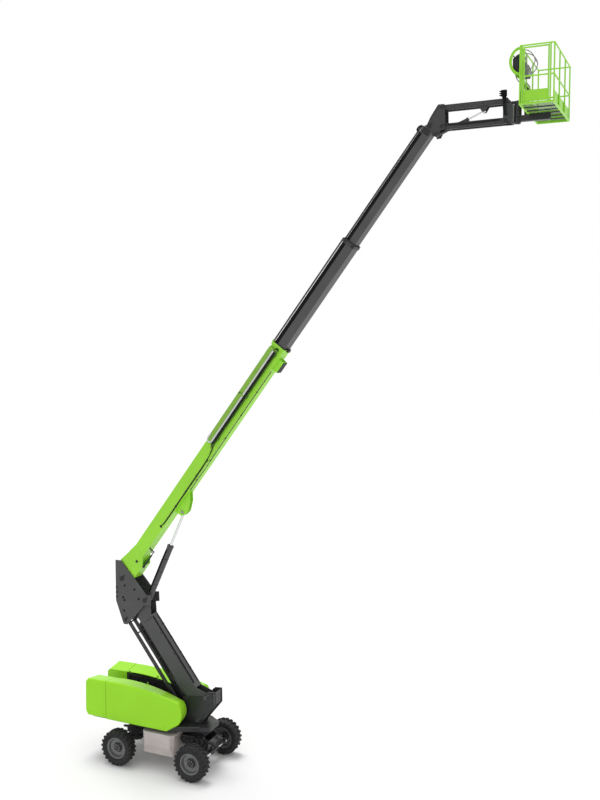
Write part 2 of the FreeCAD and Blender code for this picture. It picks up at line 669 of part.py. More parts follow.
def boom_base():
    """Base section: rectangular tube, deep heel plates, lift lug and the mouth's wear pads."""
    half = base_width / 2
    top = boom_axis + base_depth / 2
    low = boom_axis - base_depth / 2
    pieces = [boom.tube(base_start, base_end, base_depth, base_width, base_wall, boom_axis)]
    heel = boom.outline([(-60, -115), (60, -125), (270, -290), (760, -290), (980, low), (1100, top), (800, top + 50),
                         (420, top + 130), (150, 260), (-110, 90), (-110, -60)])
    pieces += pair(heel, half - 20, 20)
    pieces.append(boom.bar(base_start, base_start + 12, low, top, -half + 1, half - 1))
    pieces.append(boom.bar(280, 760, -290, -278, -half + 1, half - 1))
    eye_u, eye_v = lift_eye
    cheek = boom.outline([(eye_u - 150, low + 2), (eye_u - 110, eye_v - 10), (eye_u - 40, eye_v - 75),
                          (eye_u + 130, eye_v - 100), (eye_u + 420, eye_v + 20), (eye_u + 640, low + 2)])
    pieces += pair(cheek, 65, 20)
    pieces += [disc_y(boom_eye, 45, 64, 100), disc_y(boom_eye, 45, -100, -64)]
    collar = boom.tube(base_end - 90, base_end, base_depth + 30, base_width + 30, base_wall + 16, boom_axis)
    rest = [boom.bar(base_end - 640, base_end - 300, low - 150, low + 2, y, y + 12) for y in (-112, 100)]
    rest.append(boom.bar(base_end - 640, base_end - 300, low - 150, low - 138, -112, 112))
    loop = rail_loop(base_end, -hose_lane, hose_rail_size)
    shape = fuse(pieces + [collar, loop] + rest + wear_pads(base_end - pad_length, base_depth, base_width, base_wall,
                                                            mid_depth, mid_width, 0))
    return bored(shape, boom_foot, pin_radius + 5)


def wear_pads(u, depth, width, wall, inner_depth, inner_width, outward):
    """Four sliding pads between two sections; they stand on the outer wall, or on the inner one."""
    lift = pad_gap
    pads = []
    for sign in (1, -1):
        near = inner_depth / 2 + (0 if outward else lift)
        far = depth / 2 - wall - (lift if outward else 0)
        v0, v1 = sorted((sign * near, sign * far))
        pads.append(boom.bar(u, u + pad_length, boom_axis + v0, boom_axis + v1, -inner_width / 4, inner_width / 4))
        near = inner_width / 2 + (0 if outward else lift)
        far = width / 2 - wall - (lift if outward else 0)
        y0, y1 = sorted((sign * near, sign * far))
        pads.append(boom.bar(u, u + pad_length, boom_axis - inner_depth / 4, boom_axis + inner_depth / 4, y0, y1))
    return pads


def rail_loop(end, lane, size, gap=6.0, wall=8.0):
    """Guide on a section's end collar, round the hose rail of the next section."""
    half = size / 2 + gap
    centre = hose_rail_height
    outer = boom.bar(end - 60, end, centre - half - wall - 18, centre + half + wall, lane - half - wall,
                     lane + half + wall)
    hole = boom.bar(end - 61, end + 1, centre - half, centre + half, lane - half, lane + half)
    return outer.cut(hole)


def hose_rail(start, end, lane):
    """Square hose rail beside the boom's top, hung from a bracket at the section's end."""
    half = hose_rail_size / 2
    centre = hose_rail_height
    return boom.bar(start, end, centre - half, centre + half, lane - half, lane + half)


def rail_bracket(end, top, lane):
    """Foot that carries a hose rail on the section's end; it stands on the section's top."""
    low = top + seat_gap
    half = hose_rail_size / 2
    return boom.bar(end - 60, end, low, hose_rail_height + half, lane - half - 6, lane + half + 6)


def mid_hose_rail():
    top = boom_axis + mid_depth / 2 + 14
    return fuse([hose_rail(base_end - 120, mid_end - 10, -hose_lane), rail_bracket(mid_end - 8, top, -hose_lane)])


def fly_hose_rail():
    top = boom_axis + fly_depth / 2
    return fuse([hose_rail(mid_end - 120, fly_end - 12, hose_lane), rail_bracket(fly_end - 10, top, hose_lane)])


def hose_tray():
    """Channel with a rounded end beside the base section, on three brackets."""
    y0 = -base_width / 2 - seat_gap
    y1 = y0 - tray_depth
    low, high = tray_low, tray_low + tray_height
    start, end = tray_start, base_end - 110
    middle = (low + high) / 2
    body = boom.bar(start, end, low, high, y1, y0 - 12)
    nose = disc_y(boom.at(start, middle), tray_height / 2, y1, y0 - 12)
    room = boom.bar(start, end + 1, low + 5, high - 5, y1 + 5, y0 - 17)
    pieces = [body.fuse(nose).cut(room)]
    for u in (start + 150, (start + end) / 2, end - 200):
        pieces.append(boom.bar(u, u + 90, low - 18, high + 18, y0 - 13, y0))
    return fuse(pieces)


def boom_mid():
    """Middle section, sliding in the base."""
    pieces = [boom.tube(mid_start, mid_end, mid_depth, mid_width, mid_wall, boom_axis)]
    pieces.append(boom.tube(mid_end - 80, mid_end, mid_depth + 28, mid_width + 28, mid_wall + 14, boom_axis))
    pieces += wear_pads(mid_start, base_depth, base_width, base_wall, mid_depth, mid_width, 1)
    pieces += wear_pads(mid_end - pad_length, mid_depth, mid_width, mid_wall, fly_depth, fly_width, 0)
    pieces.append(rail_loop(mid_end, hose_lane, hose_rail_size))
    pieces.append(boom.bar(mid_end - 60, mid_end, boom_axis + mid_depth / 2, hose_rail_height - 40, hose_lane - 30,
                           hose_lane + 30))
    return fuse(pieces)


def boom_fly():
    """Fly section; two ears at its end take the jib base's hinge pin."""
    pieces = [boom.tube(fly_start, fly_end, fly_depth, fly_width, fly_wall, boom_axis)]
    pieces += wear_pads(fly_start, mid_depth, mid_width, mid_wall, fly_depth, fly_width, 1)
    ear = boom.outline([(fly_end - 160, boom_axis - 110), (fly_end + 20, boom_axis - 110),
                        (fly_end + jib_pivot + 60, boom_axis - 30), (fly_end + jib_pivot + 60, boom_axis + 30),
                        (fly_end + 20, boom_axis + 110), (fly_end - 160, boom_axis + 110)])
    pieces += pair(ear, fly_width / 2 - fly_wall - 16, 16 + fly_wall)
    shape = fuse(pieces)
    return bored(shape, jib_hinge, small_pin)


# ---------------------------------------------------------------- jib


def jib_base():
    """Bracket that stays level at the boom's end and carries both jib arms and the jib cylinder's foot."""
    x, z = jib_hinge
    jx, jz = upper_foot
    lz = lower_foot[1]
    cx, cz = jib_cyl_pin
    plate = [(x - 70, z - 50), (x - 60, z + 40), (x + 30, z + 220), (jx - 90, jz + 75), (jx + 60, jz + 75),
             (jx + 75, jz - 60), (jx + 85, lz + 60), (jx + 75, lz - 60), (jx - 40, lz - 90), (cx + 60, cz - 45),
             (cx - 45, cz - 55), (cx - 65, cz + 20), (x + 70, z - 90), (x + 30, z - 75)]
    side = fly_width / 2 + 8
    pieces = pair(plate, side, 12)
    pin_half = side + 12
    for centre in (jib_hinge, upper_foot, jib_cyl_pin):
        pieces.append(disc_y(centre, small_pin, -pin_half, pin_half))
    stub = jib_side - jib_bar / 2 - 20
    pieces += [disc_y(lower_foot, small_pin, stub, pin_half), disc_y(lower_foot, small_pin, -pin_half, -stub)]
    web = [(x + 150, z + 120), (jx - 105, jz + 5), (jx - 95, jz - 10), (x + 165, z + 105)]
    pieces.append(sheet(web, -side - 1, side + 1))
    return fuse(pieces)


def jib_arm(axes, depth):
    """Two side bars joined by end bosses; the middle stays open for the jib cylinder."""
    half = depth / 2
    pieces = []
    for sign in (1, -1):
        y0, y1 = sorted((sign * (jib_side - jib_bar / 2), sign * (jib_side + jib_bar / 2)))
        pieces.append(axes.bar(0, jib_length, -half, half, y0, y1))
        pieces += [disc_y(axes.at(u), half, y0, y1) for u in (0, jib_length)]
    pieces.append(axes.bar(jib_length - 190, jib_length - 120, -20, 20, -jib_side, jib_side))
    return pieces


def jib_upper_arm():
    pieces = jib_arm(upper_arm, upper_arm_depth)
    u, v = jib_cyl_eye
    low = -upper_arm_depth / 2
    cheek = upper_arm.outline([(u - 110, low + 5), (u - 30, v - 35), (u + 30, v - 35), (u + 110, low + 5)])
    inner = jib_side - jib_bar / 2
    pieces += pair(cheek, inner, 16)
    pieces += [disc_y(jib_eye, 26, inner - 43, inner + 5), disc_y(jib_eye, 26, -inner - 5, -inner + 43)]
    shape = fuse(pieces)
    return bored(bored(shape, upper_foot, small_pin), upper_head, small_pin)


def jib_lower_arm():
    shape = fuse(jib_arm(lower_arm, lower_arm_depth))
    return bored(bored(shape, lower_foot, small_pin), lower_head, small_pin)


def jib_head():
    """Level bracket at the jib's end, with the upright spindle that the platform turns on."""
    ux, uz = upper_head
    lz = lower_head[1]
    side = jib_side + jib_bar / 2 + 4
    plate = [(ux - 60, uz + 70), (ux + 40, uz + 75), (ux + 150, uz - 60), (ux + 150, lz - 70), (ux - 60, lz - 70)]
    pieces = pair(plate, side, 12)
    for centre in (upper_head, lower_head):
        pieces.append(disc_y(centre, small_pin, -side - 12, side + 12))
    pieces.append(box(ux + 130, ux + 150, -side - 1, side + 1, lz - 70, uz - 60))
    for z0 in (lz - 70, uz - 40):
        tongue = box(ux + 130, turn_x, -70, 70, z0, z0 + 30)
        tip = Part.makeCylinder(70, 30, V(turn_x, 0, z0))
        pieces += [tongue, tip]
    pieces.append(box(ux + 120, ux + 150, -70, 70, uz - 70, uz - 10))
    pieces.append(Part.makeCylinder(spindle_radius(), uz - lz + 60, V(turn_x, 0, lz - 70)))
    return fuse(pieces)


def spindle_radius():
    return 45.0


# ---------------------------------------------------------------- platform


def rotator():
    """Rotary drum on the jib head's spindle, the arm under the floor and the rear post."""
    low = lower_head[1] - 40 + 1
    high = upper_head[1] - 40 - 1
    drum = Part.makeCylinder(85, high - low, V(turn_x, 0, low))
    arm_low = low + 5
    arm_top = basket_floor - 45
    pieces = [drum, box(turn_x, basket_front - 260, -60, 60, arm_low, arm_top)]
    pieces.append(box(basket_rear - 75, basket_rear - 22, -50, 50, arm_low, basket_floor + 650))
    pieces.append(box(basket_rear - 75, basket_rear - seat_gap, -220, 220, basket_floor + 530, basket_floor + 650))
    shape = fuse(pieces)
    return shape.cut(Part.makeCylinder(spindle_radius() + pin_gap, 2000, V(turn_x, 0, low - 500)))


def platform_floor():
    """Floor frame: rim, cross bearers and a grating sheet."""
    z0, z1 = basket_floor - 45 + seat_gap, basket_floor
    rim_outer = box(basket_rear, basket_front, -basket_side, basket_side, z0, z1)
    rim_inner = box(basket_rear + 40, basket_front - 40, -basket_side + 40, basket_side - 40, z0 - 1, z1 + 1)
    pieces = [rim_outer.cut(rim_inner)]
    pieces.append(box(basket_rear + 39, basket_front - 39, -basket_side + 39, basket_side - 39, z1 - 5, z1))
    for y in (-700, -350, 0, 350, 700):
        pieces.append(box(basket_rear + 39, basket_front - 39, y - 25, y + 25, z0, z1 - 1))
    return fuse(pieces)


def post(x, y, top=None):
    """An upright tube of the guard rail."""
    height = (basket_height if top is None else top) - rail_radius
    return Part.makeCylinder(rail_radius, height, V(x, y, basket_floor))


def rail_x(x0, x1, y, z):
    return Part.makeCylinder(rail_radius, x1 - x0, V(x0, y, z), V(1, 0, 0))


def rail_y(x, y0, y1, z):
    return Part.makeCylinder(rail_radius, y1 - y0, V(x, y0, z), V(0, 1, 0))


gate_x0 = 60.0              # gate's opening, from the rear and from the front rail
gate_x1 = 95.0
gate_clear = 8.0            # round the closed gate
gate_pin = 8.0
gate_pin_depth = 40.0


def platform_rails():
    """Tube guard rail round the basket, open at the gate on the right-hand end."""
    r = rail_radius
    top = basket_top - r
    middle = basket_floor + 560
    x0, x1 = basket_rear + r, basket_front - r
    y0, y1 = -basket_side + r, basket_side - r
    posts = [(x0, y0), (x1, y0), (x0, y1), (x1, y1), (x0, -380), (x0, 380), (x1, -380), (x1, 380),
             (basket_front - gate_x1, y0), (basket_rear + gate_x0, y0)]
    pieces = [post(x, y, basket_height - r) for x, y in posts]
    for z in (top, middle):
        pieces += [rail_y(x0, y0, y1, z), rail_y(x1, y0, y1, z), rail_x(x0, x1, y1, z)]
    pieces.append(rail_x(x0, x1, y0, top))
    pieces.append(rail_x(x0, basket_rear + gate_x0, y0, middle))
    pieces.append(rail_x(basket_front - gate_x1, x1, y0, middle))
    pieces += [Part.makeSphere(r, V(x, y, top)) for x in (x0, x1) for y in (y0, y1)]
    pieces.append(box(x0 - 2, x0 + 2, y0, y0 + 330, basket_floor + 1, top))
    # the gate's hinge pins: one stands on a foot at the floor, the other hangs from the top rail
    pin_x = basket_front - gate_x1 - 2 * r - gate_clear
    pieces.append(box(pin_x - 12, basket_front - gate_x1, y0 - 12, y0 + 12, basket_floor + 1, basket_floor + 8))
    pieces.append(Part.makeCylinder(gate_pin, 36, V(pin_x, y0, basket_floor + 5)))
    pieces.append(Part.makeCylinder(gate_pin, 60, V(pin_x, y0, basket_top - r - 60)))
    return fuse(pieces)


def toe_boards():
    """Kick boards on three sides of the floor, inside the posts."""
    wall = 3.0
    z0, z1 = basket_floor + seat_gap, basket_floor + toe_height
    inset = 2 * rail_radius + seat_gap
    x0, x1 = basket_rear + inset, basket_front - inset
    y0, y1 = -basket_side + inset, basket_side - inset
    outer = box(x0, x1, y0, y1, z0, z1)
    inner = box(x0 + wall, x1 - wall, y0 - 1, y1 - wall, z0 - 1, z1 + 1)
    return outer.cut(inner)


def gate():
    """Swing gate in the right-hand end, hinged on its front post."""
    r = rail_radius
    y = -basket_side + r
    x0 = basket_rear + gate_x0 + r + gate_clear
    x1 = basket_front - gate_x1 - r - gate_clear
    top = basket_top - 2 * r - 2 * gate_clear
    low = basket_floor + 12
    pieces = [Part.makeCylinder(r, top - low, V(x, y, low)) for x in (x0 + r, x1 - r)]
    pieces += [rail_x(x0 + r, x1 - r, y, z) for z in (top - r, basket_floor + 560)]
    pieces.append(box(x0 + r, x1 - r, y - 2, y + 2, low, low + toe_height - 12))
    shape = fuse(pieces)
    for z in (low, top - gate_pin_depth):
        shape = shape.cut(Part.makeCylinder(gate_pin + pin_gap, gate_pin_depth, V(x1 - r, y, z)))
    return shape


def console():
    """Control box on the rear rail, with its sloped face towards the operator."""
    x = basket_rear
    z = basket_floor + 740
    outline = [(x - 165, z), (x - 165, z + 250), (x - 60, z + 330), (x - seat_gap, z + 330), (x - seat_gap, z)]
    y0 = console_inset - basket_side
    box_shape = sheet(outline, y0, y0 + console_width)
    # two feet stand on the green panel of the guard rail
    feet = [box(x - 1, x + rail_radius - 2 - seat_gap, y, y + 40, z + 60, z + 250)
            for y in (y0 + 20, y0 + 170)]
    return fuse([box_shape] + feet)


def console_guard():
    """Green hood plate round the back of the control box, with two side loops."""
    x = basket_rear
    z = basket_floor + 730
    thickness = 8.0
    pieces = []
    x -= seat_gap
    top = basket_top - rail_radius
    rear = Part.Arc(V(x, 0, z - 120), V(x - guard_depth, 0, z + 190), V(x, 0, top)).toShape()
    inner = Part.Arc(V(x, 0, z - 120 + thickness), V(x - guard_depth + thickness, 0, z + 190),
                     V(x, 0, top - thickness)).toShape()
    side = console_inset - basket_side
    for y0 in (side - 40, side + console_width + 10):
        ends = [Part.LineSegment(rear.Vertexes[-1].Point, inner.Vertexes[-1].Point).toShape(),
                Part.LineSegment(inner.Vertexes[0].Point, rear.Vertexes[0].Point).toShape()]
        face = Part.Face(Part.Wire(Part.__sortEdges__([rear, inner] + ends)))
        loop = face.extrude(V(0, 30, 0))
        loop.translate(V(0, y0, 0))
        pieces.append(loop)
    return Part.makeCompound(pieces)


# ---------------------------------------------------------------- build every piece
save("chassis_frame", chassis_frame())
save("front_axle", front_axle())
save("rear_axle", rear_axle())
save("left_knuckle", knuckle(1))
save("right_knuckle", knuckle(-1))
save("tie_rod", tie_rod())
for end, x in (("front", front_axle_x), ("rear", -front_axle_x)):
    for hand, sign in (("left", 1), ("right", -1)):
        save(end + "_" + hand + "_tyre", tyre(x, sign * wheel_side))
        save(end + "_" + hand + "_rim", rim(x, sign * wheel_side, sign))
save("slewing_ring", slewing_ring())
save("turntable_frame", turntable_frame())
save("counterweight", counterweight())
save("tail_cowls", Part.makeCompound([tail_cowl(1), tail_cowl(-1)]))
save("left_hood", hood(1))
save("right_hood", hood(-1))
save("inner_panels", Part.makeCompound([inner_panel(1), inner_panel(-1)]))
save("engine", engine())
save("tanks", tanks())
save("riser", riser_boom())
save("timing_link", timing_link())
save("riser_cylinder_barrel", cylinder_barrel(riser_cyl, 1450, 52, 30, 68, 35, pin_radius, 9.0))
save("riser_cylinder_rod", cylinder_rod(riser_cyl, 820, riser_cyl_length, 30, 42.5, 42, 36))
save("upright", upright())
save("lift_cylinder_barrel", cylinder_barrel(lift_cyl, lift_barrel_length, lift_barrel_radius, lift_rod_radius,
                                             88, 60, pin_radius, 12.0))
save("lift_cylinder_rod", cylinder_rod(lift_cyl, 1000, lift_cyl_length, lift_rod_radius, 79, 57, 50))
save("boom_base", boom_base())
save("hose_tray", hose_tray())
save("boom_mid", boom_mid())
save("mid_hose_rail", mid_hose_rail())
save("boom_fly", boom_fly())
save("fly_hose_rail", fly_hose_rail())
save("jib_base", jib_base())
save("jib_upper_arm", jib_upper_arm())
save("jib_lower_arm", jib_lower_arm())
save("jib_cylinder_barrel", cylinder_barrel(jib_cyl, 840, 42, 20, 42, 40, small_pin, 7.0))
save("jib_cylinder_rod", cylinder_rod(jib_cyl, 362, jib_cyl_length, 20, 33, 32, 40, 30.0))
save("jib_head", jib_head())
save("platform_rotator", rotator())
save("platform_floor", platform_floor())
save("platform_rails", platform_rails())
save("toe_boards", toe_boards())
save("platform_gate", gate())
save("control_console", console())
save("console_guard", console_guard())
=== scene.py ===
# %% [markdown]
# # Telescopic boom lift: the looks on a fixed frame
# The machine's bodies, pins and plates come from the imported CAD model, so this file never moves
# them. It gives every surface its finish and adds what a CAD part leaves out: tread, bolts,
# hoses, gratings, switches and the power track. Each step is a cell, with a few words before it.

# %% Load the frame
import json
import math

import bmesh
import bpy
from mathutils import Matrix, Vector


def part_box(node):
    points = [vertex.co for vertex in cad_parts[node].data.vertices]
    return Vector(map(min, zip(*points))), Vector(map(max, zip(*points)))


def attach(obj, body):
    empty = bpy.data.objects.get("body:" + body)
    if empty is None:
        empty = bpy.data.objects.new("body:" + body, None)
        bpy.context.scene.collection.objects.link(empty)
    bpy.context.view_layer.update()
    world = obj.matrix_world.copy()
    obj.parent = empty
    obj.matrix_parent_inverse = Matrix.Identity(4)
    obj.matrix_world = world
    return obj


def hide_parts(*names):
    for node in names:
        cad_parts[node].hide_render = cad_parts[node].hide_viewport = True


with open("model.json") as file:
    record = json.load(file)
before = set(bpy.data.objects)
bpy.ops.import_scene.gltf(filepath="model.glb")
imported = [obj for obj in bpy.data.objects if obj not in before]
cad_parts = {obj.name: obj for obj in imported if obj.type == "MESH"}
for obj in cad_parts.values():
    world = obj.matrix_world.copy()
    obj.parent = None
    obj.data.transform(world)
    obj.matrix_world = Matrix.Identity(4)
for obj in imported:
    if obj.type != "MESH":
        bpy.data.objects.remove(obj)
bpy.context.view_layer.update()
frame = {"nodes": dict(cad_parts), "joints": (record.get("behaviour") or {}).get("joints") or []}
nodes = frame["nodes"]
joints = {joint["name"]: joint for joint in frame["joints"]}

# %% [markdown]
# ## Axes along the booms
# Most pieces lie along a boom, an arm or a cylinder, all of them in the machine's middle plane.
# The joints say where each pin is and which way each boom slides, so one small class turns a
# place "so far along, so far above" into a point. Typing world coordinates would go wrong as
# soon as an angle changed.

# %% Axes from the joints
def pin(name):
    """Where a joint's pin crosses the middle plane."""
    x, _, z = joints[name]["pos_m"]
    return Vector((x, 0.0, z))


class Line:
    """u runs along the line, v square to it in the middle plane, y across the machine."""

    def __init__(self, origin, direction):
        self.origin = origin
        self.u = Vector((direction[0], 0.0, direction[2])).normalized()
        self.v = Vector((-self.u.z, 0.0, self.u.x))
        self.y = Vector((0.0, 1.0, 0.0))

    def at(self, u, v=0.0, y=0.0):
        """The point at a place on this line."""
        return self.origin + self.u * u + self.v * v + self.y * y

    def path(self, *places):
        """The points at several places."""
        return [self.at(*place) for place in places]


def ram(name):
    """A cylinder's line: from its foot's pin the way its rod slides."""
    return Line(pin(name + "_cylinder_swing"), joints[name + "_cylinder_stroke"]["axis"])


SIDES = (1, -1)                         # left, right
UP, FORWARD = Vector((0, 0, 1)), Vector((1, 0, 0))
riser_head = pin("upright_level")
riser = Line(pin("riser_lift"), riser_head - pin("riser_lift"))
RISER_LENGTH = 3.208
link_line = Line(pin("link_swing"), riser.u)
boom = Line(pin("boom_lift"), joints["telescope"]["axis"])
jib = Line(pin("jib_lift"), pin("head_level") - pin("jib_lift"))
lower_jib = Line(pin("jib_lower_swing"), jib.u)
turn_x = joints["platform_turn"]["pos_m"][0]
print("boom starts at", [round(c, 3) for c in boom.origin], "riser length",
      round((riser_head - riser.origin).length, 3))

# %% [markdown]
# ## Small tools for meshes
# A real machine is welded from plates, bars and turned parts. The tools below do the same: they
# collect bevelled bars, flat outlines, turned profiles and swept hoses in one mesh, and the mesh
# becomes one piece that rides on one body. Everything stays in the machine's own frame, so every
# object sits at the origin. A soft bevel on each bar catches the light as a real edge does.

# %% From a mesh to a piece, and places on a circle
def piece_from(mesh, name, body, finish_name, angle=30):
    """Put a finished mesh in the scene as a piece that rides on a body."""
    piece = bpy.data.objects.new(name, mesh)
    bpy.context.scene.collection.objects.link(piece)
    mesh.materials.clear()
    mesh.materials.append(look[finish_name])
    mesh.name = name
    mesh.shade_smooth()
    mesh.set_sharp_from_angle(angle=math.radians(angle))
    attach(piece, body)
    print(name, "on", body, len(mesh.polygons), "faces")
    return piece


def spokes(axis, count, first=0.0):
    """Evenly spaced directions square to an axis."""
    side = axis.orthogonal().normalized()
    other = axis.cross(side)
    turns = (first + math.tau * i / count for i in range(count))
    return [side * math.cos(t) + other * math.sin(t) for t in turns]


def steps(start, end, step):
    """Numbers from start up to end in equal steps."""
    values = []
    while start < end:
        values.append(start)
        start += step
    return values


def ring_of(centre, axis, radius, count, first=0.0):
    """Evenly spaced (point, direction) places on a circle."""
    axis = Vector(axis).normalized()
    return [(Vector(centre) + spoke * radius, axis) for spoke in spokes(axis, count, first)]


# %% Bars, plates and turned parts
class Maker:
    """Collects closed shapes in one mesh. On a line, a tuple is a (u, v, y) place, and "u" or
    "v" is a direction. Vectors, and tuples without a line, are the machine's own x, y, z."""

    def __init__(self, line=None):
        self.bm = bmesh.new()
        self.line = line

    def place(self, spot):
        """The point that a place stands for."""
        return self.line.at(*spot) if self.line and type(spot) is tuple else Vector(spot)

    def way(self, direction):
        """The unit vector that a direction stands for."""
        known = {"u": self.line.u, "v": self.line.v} if self.line else {}
        return Vector(known[direction] if type(direction) is str else direction).normalized()

    def solid(self, rings, closed=False):
        """A closed skin over rings of points that have the same count."""
        rows = [[self.bm.verts.new(p) for p in ring] for ring in rings]
        pairs = list(zip(rows, rows[1:])) + ([(rows[-1], rows[0])] if closed else [])
        faces = [self.bm.faces.new((a[i - 1], a[i], b[i], b[i - 1]))
                 for a, b in pairs for i in range(len(a))]
        if not closed:
            faces += [self.bm.faces.new(rows[0][::-1]), self.bm.faces.new(rows[-1])]
        bmesh.ops.recalc_face_normals(self.bm, faces=faces)

    def bar(self, a, b, wide, deep, side=(0, 1, 0), bevel=0.004):
        """A bevelled bar from a to b; wide is measured along side, deep square to it."""
        a, b, across = self.place(a), self.place(b), self.way(side)
        along = (b - a).normalized()
        up = across.cross(along).normalized()
        across = along.cross(up)
        bevel = min(bevel, wide / 3, deep / 3, (b - a).length / 3)

        def ring(at, less):
            x, y = wide / 2 - less, deep / 2 - less
            steep, flat = (x, y - bevel), (x - bevel, y)
            return [at + across * (sx * p) + up * (sy * q) for sx, sy, corner in
                    ((1, 1, (steep, flat)), (-1, 1, (flat, steep)),
                     (-1, -1, (steep, flat)), (1, -1, (flat, steep))) for p, q in corner]

        self.solid([ring(a, bevel), ring(a + along * bevel, 0.0), ring(b - along * bevel, 0.0),
                    ring(b, bevel)])

    def plate(self, outline, across, thick, bevel=0.002):
        """A flat outline given a thickness along across, centred on it, with broken edges."""
        across = self.way(across)
        points = [self.place(p) for p in outline]
        middle = sum(points, Vector()) / len(points)
        inner = [p + (middle - p).normalized() * bevel for p in points]
        half = thick / 2
        layers = ((inner, -half), (points, bevel - half), (points, half - bevel), (inner, half))
        self.solid([[p + across * out for p in ring] for ring, out in layers])

    def turned(self, profile, origin, axis, count=32):
        """Spin (distance along the axis, radius) points about an axis, closed at both ends."""
        origin, axis = self.place(origin), self.way(axis)
        self.solid([[origin + axis * along + spoke * max(radius, 1e-4)
                     for spoke in spokes(axis, count)] for along, radius in profile])

    def hoop(self, profile, origin, axis, count=36):
        """Spin a closed (distance along the axis, radius) outline: a ring with a hole."""
        origin, axis = self.place(origin), self.way(axis)
        self.solid([[origin + axis * along + spoke * radius for along, radius in profile]
                    for spoke in spokes(axis, count)], closed=True)

    def done(self, name, body, slot, finish_name, angle=30):
        """Turn what was collected into one piece."""
        mesh = bpy.data.meshes.new(name)
        self.bm.to_mesh(mesh)
        self.bm.free()
        return piece_from(mesh, name, body, finish_name, angle)


# %% Hoses and bent tubes
def swept(name, routes, radius, body, finish_name="hose", sides=2):
    """Hoses or bent tubes: one smooth NURBS line for each route, made a mesh."""
    curve = bpy.data.curves.new(name, "CURVE")
    curve.dimensions = "3D"
    curve.bevel_depth = radius
    curve.bevel_resolution = sides
    curve.resolution_u = 6
    curve.use_fill_caps = True
    for route in routes:
        spline = curve.splines.new("NURBS")
        spline.points.add(len(route) - 1)
        for point, spot in zip(spline.points, route):
            point.co = (*spot, 1.0)
        spline.order_u = 3
        spline.use_endpoint_u = True
    source = bpy.data.objects.new(name + "_line", curve)
    bpy.context.scene.collection.objects.link(source)
    mesh = evaluated_mesh(source)
    return piece_from(mesh, name, body, finish_name, 60)


def evaluated_mesh(source):
    """The plain mesh that an object makes; the object is removed."""
    bpy.context.view_layer.update()
    depsgraph = bpy.context.evaluated_depsgraph_get()
    mesh = bpy.data.meshes.new_from_object(source.evaluated_get(depsgraph))
    source.modifiers.clear()
    bpy.data.objects.remove(source)
    return mesh


print("tools: Maker for welded and turned parts, swept for hoses")

# %% [markdown]
# ## Finishes
# Every finish is worked out from the object's own coordinates in metres, so a boom, a bolt and a
# cover share one scale. Three effects come back in nearly all of them, and each is a node group:
# age (mottling and dust, more of it low down and on faces that look up), edge wear (paint rubbed
# thin on sharp edges, found by comparing the surface with a slightly rounded one) and relief (the
# fine texture of sprayed paint, cast iron or rubber).

# %% Node helpers
def feed(tree, socket, value):
    """Give a socket a value or another node's output."""
    if isinstance(value, bpy.types.NodeSocket):
        tree.links.new(value, socket)
    else:
        socket.default_value = value


def add(tree, kind, inputs=None, **settings):
    """Add a node with its settings and inputs."""
    node = tree.nodes.new(kind)
    for key, value in settings.items():
        setattr(node, key, value)
    for key, value in (inputs or {}).items():
        feed(tree, node.inputs[key], value)
    return node


def math_node(tree, operation, *values, clamp=False):
    """The result of a sum, a product or another operation."""
    return add(tree, "ShaderNodeMath", dict(enumerate(values)), operation=operation,
               use_clamp=clamp).outputs[0]


def noise(tree, **inputs):
    """Cloudy noise between 0 and 1."""
    return add(tree, "ShaderNodeTexNoise", inputs).outputs["Fac"]


def own_place(tree):
    """Where a point is on the machine, in metres."""
    return add(tree, "ShaderNodeTexCoord").outputs["Object"]


def part_of(tree, vector_socket, axis):
    """One of a vector's three numbers."""
    return add(tree, "ShaderNodeSeparateXYZ", {0: vector_socket}).outputs[axis]


def ramp(tree, value, low, high):
    """0 below low, 1 above high."""
    node = add(tree, "ShaderNodeMapRange", {"Value": value, "From Min": low, "From Max": high})
    return node.outputs["Result"]


def blend(tree, share, a, b):
    """Colour a where share is 0 and b where it is 1."""
    node = add(tree, "ShaderNodeMix", {0: share}, data_type="RGBA")
    for socket, colour in zip(node.inputs[6:8], (a, b)):
        feed(tree, socket, colour if isinstance(colour, bpy.types.NodeSocket) else (*colour, 1.0))
    return node.outputs[2]


def node_group(name, kind, inputs, outputs):
    """An empty node group, the sockets of its start and the sockets of its end."""
    tree = bpy.data.node_groups.new(name, kind)
    for in_out, sockets in (("INPUT", inputs), ("OUTPUT", outputs)):
        for label, socket_type in sockets.items():
            value = socket_type if isinstance(socket_type, float) else None
            socket = tree.interface.new_socket(
                name=label, in_out=in_out,
                socket_type="NodeSocket" + ("Float" if value is not None else socket_type))
            if value is not None:
                socket.default_value = value
    return tree, tree.nodes.new("NodeGroupInput").outputs, tree.nodes.new("NodeGroupOutput").inputs


def use(tree, shared, **values):
    """Place a shared group in a material, with this material's own values."""
    return add(tree, "ShaderNodeGroup", {key.replace("_", " "): value for key, value in
                                         values.items()}, node_tree=shared).outputs


# %% Age: mottling and dust
age, start, end = node_group("age", "ShaderNodeTree",
                             {"Size": 3.0, "Dust": 0.5, "Dust height": 1.2},
                             {"Mottle": "Float", "Dust": "Float"})
place = own_place(age)
feed(age, end["Mottle"], noise(age, Vector=place, Scale=start["Size"], Detail=5.0))
grime = noise(age, Vector=place, Scale=11.0, Detail=8.0, Roughness=0.65)
low = ramp(age, part_of(age, place, "Z"), start["Dust height"], 0.0)
facing = part_of(age, add(age, "ShaderNodeNewGeometry").outputs["Normal"], "Z")
lying = math_node(age, "MULTIPLY", ramp(age, facing, 0.6, 1.0), 0.35)
patchy = math_node(age, "MULTIPLY", math_node(age, "ADD", low, lying), ramp(age, grime, 0.35, 0.7))
feed(age, end["Dust"], math_node(age, "MULTIPLY", patchy, start["Dust"], clamp=True))
print("age:", len(age.nodes), "nodes")

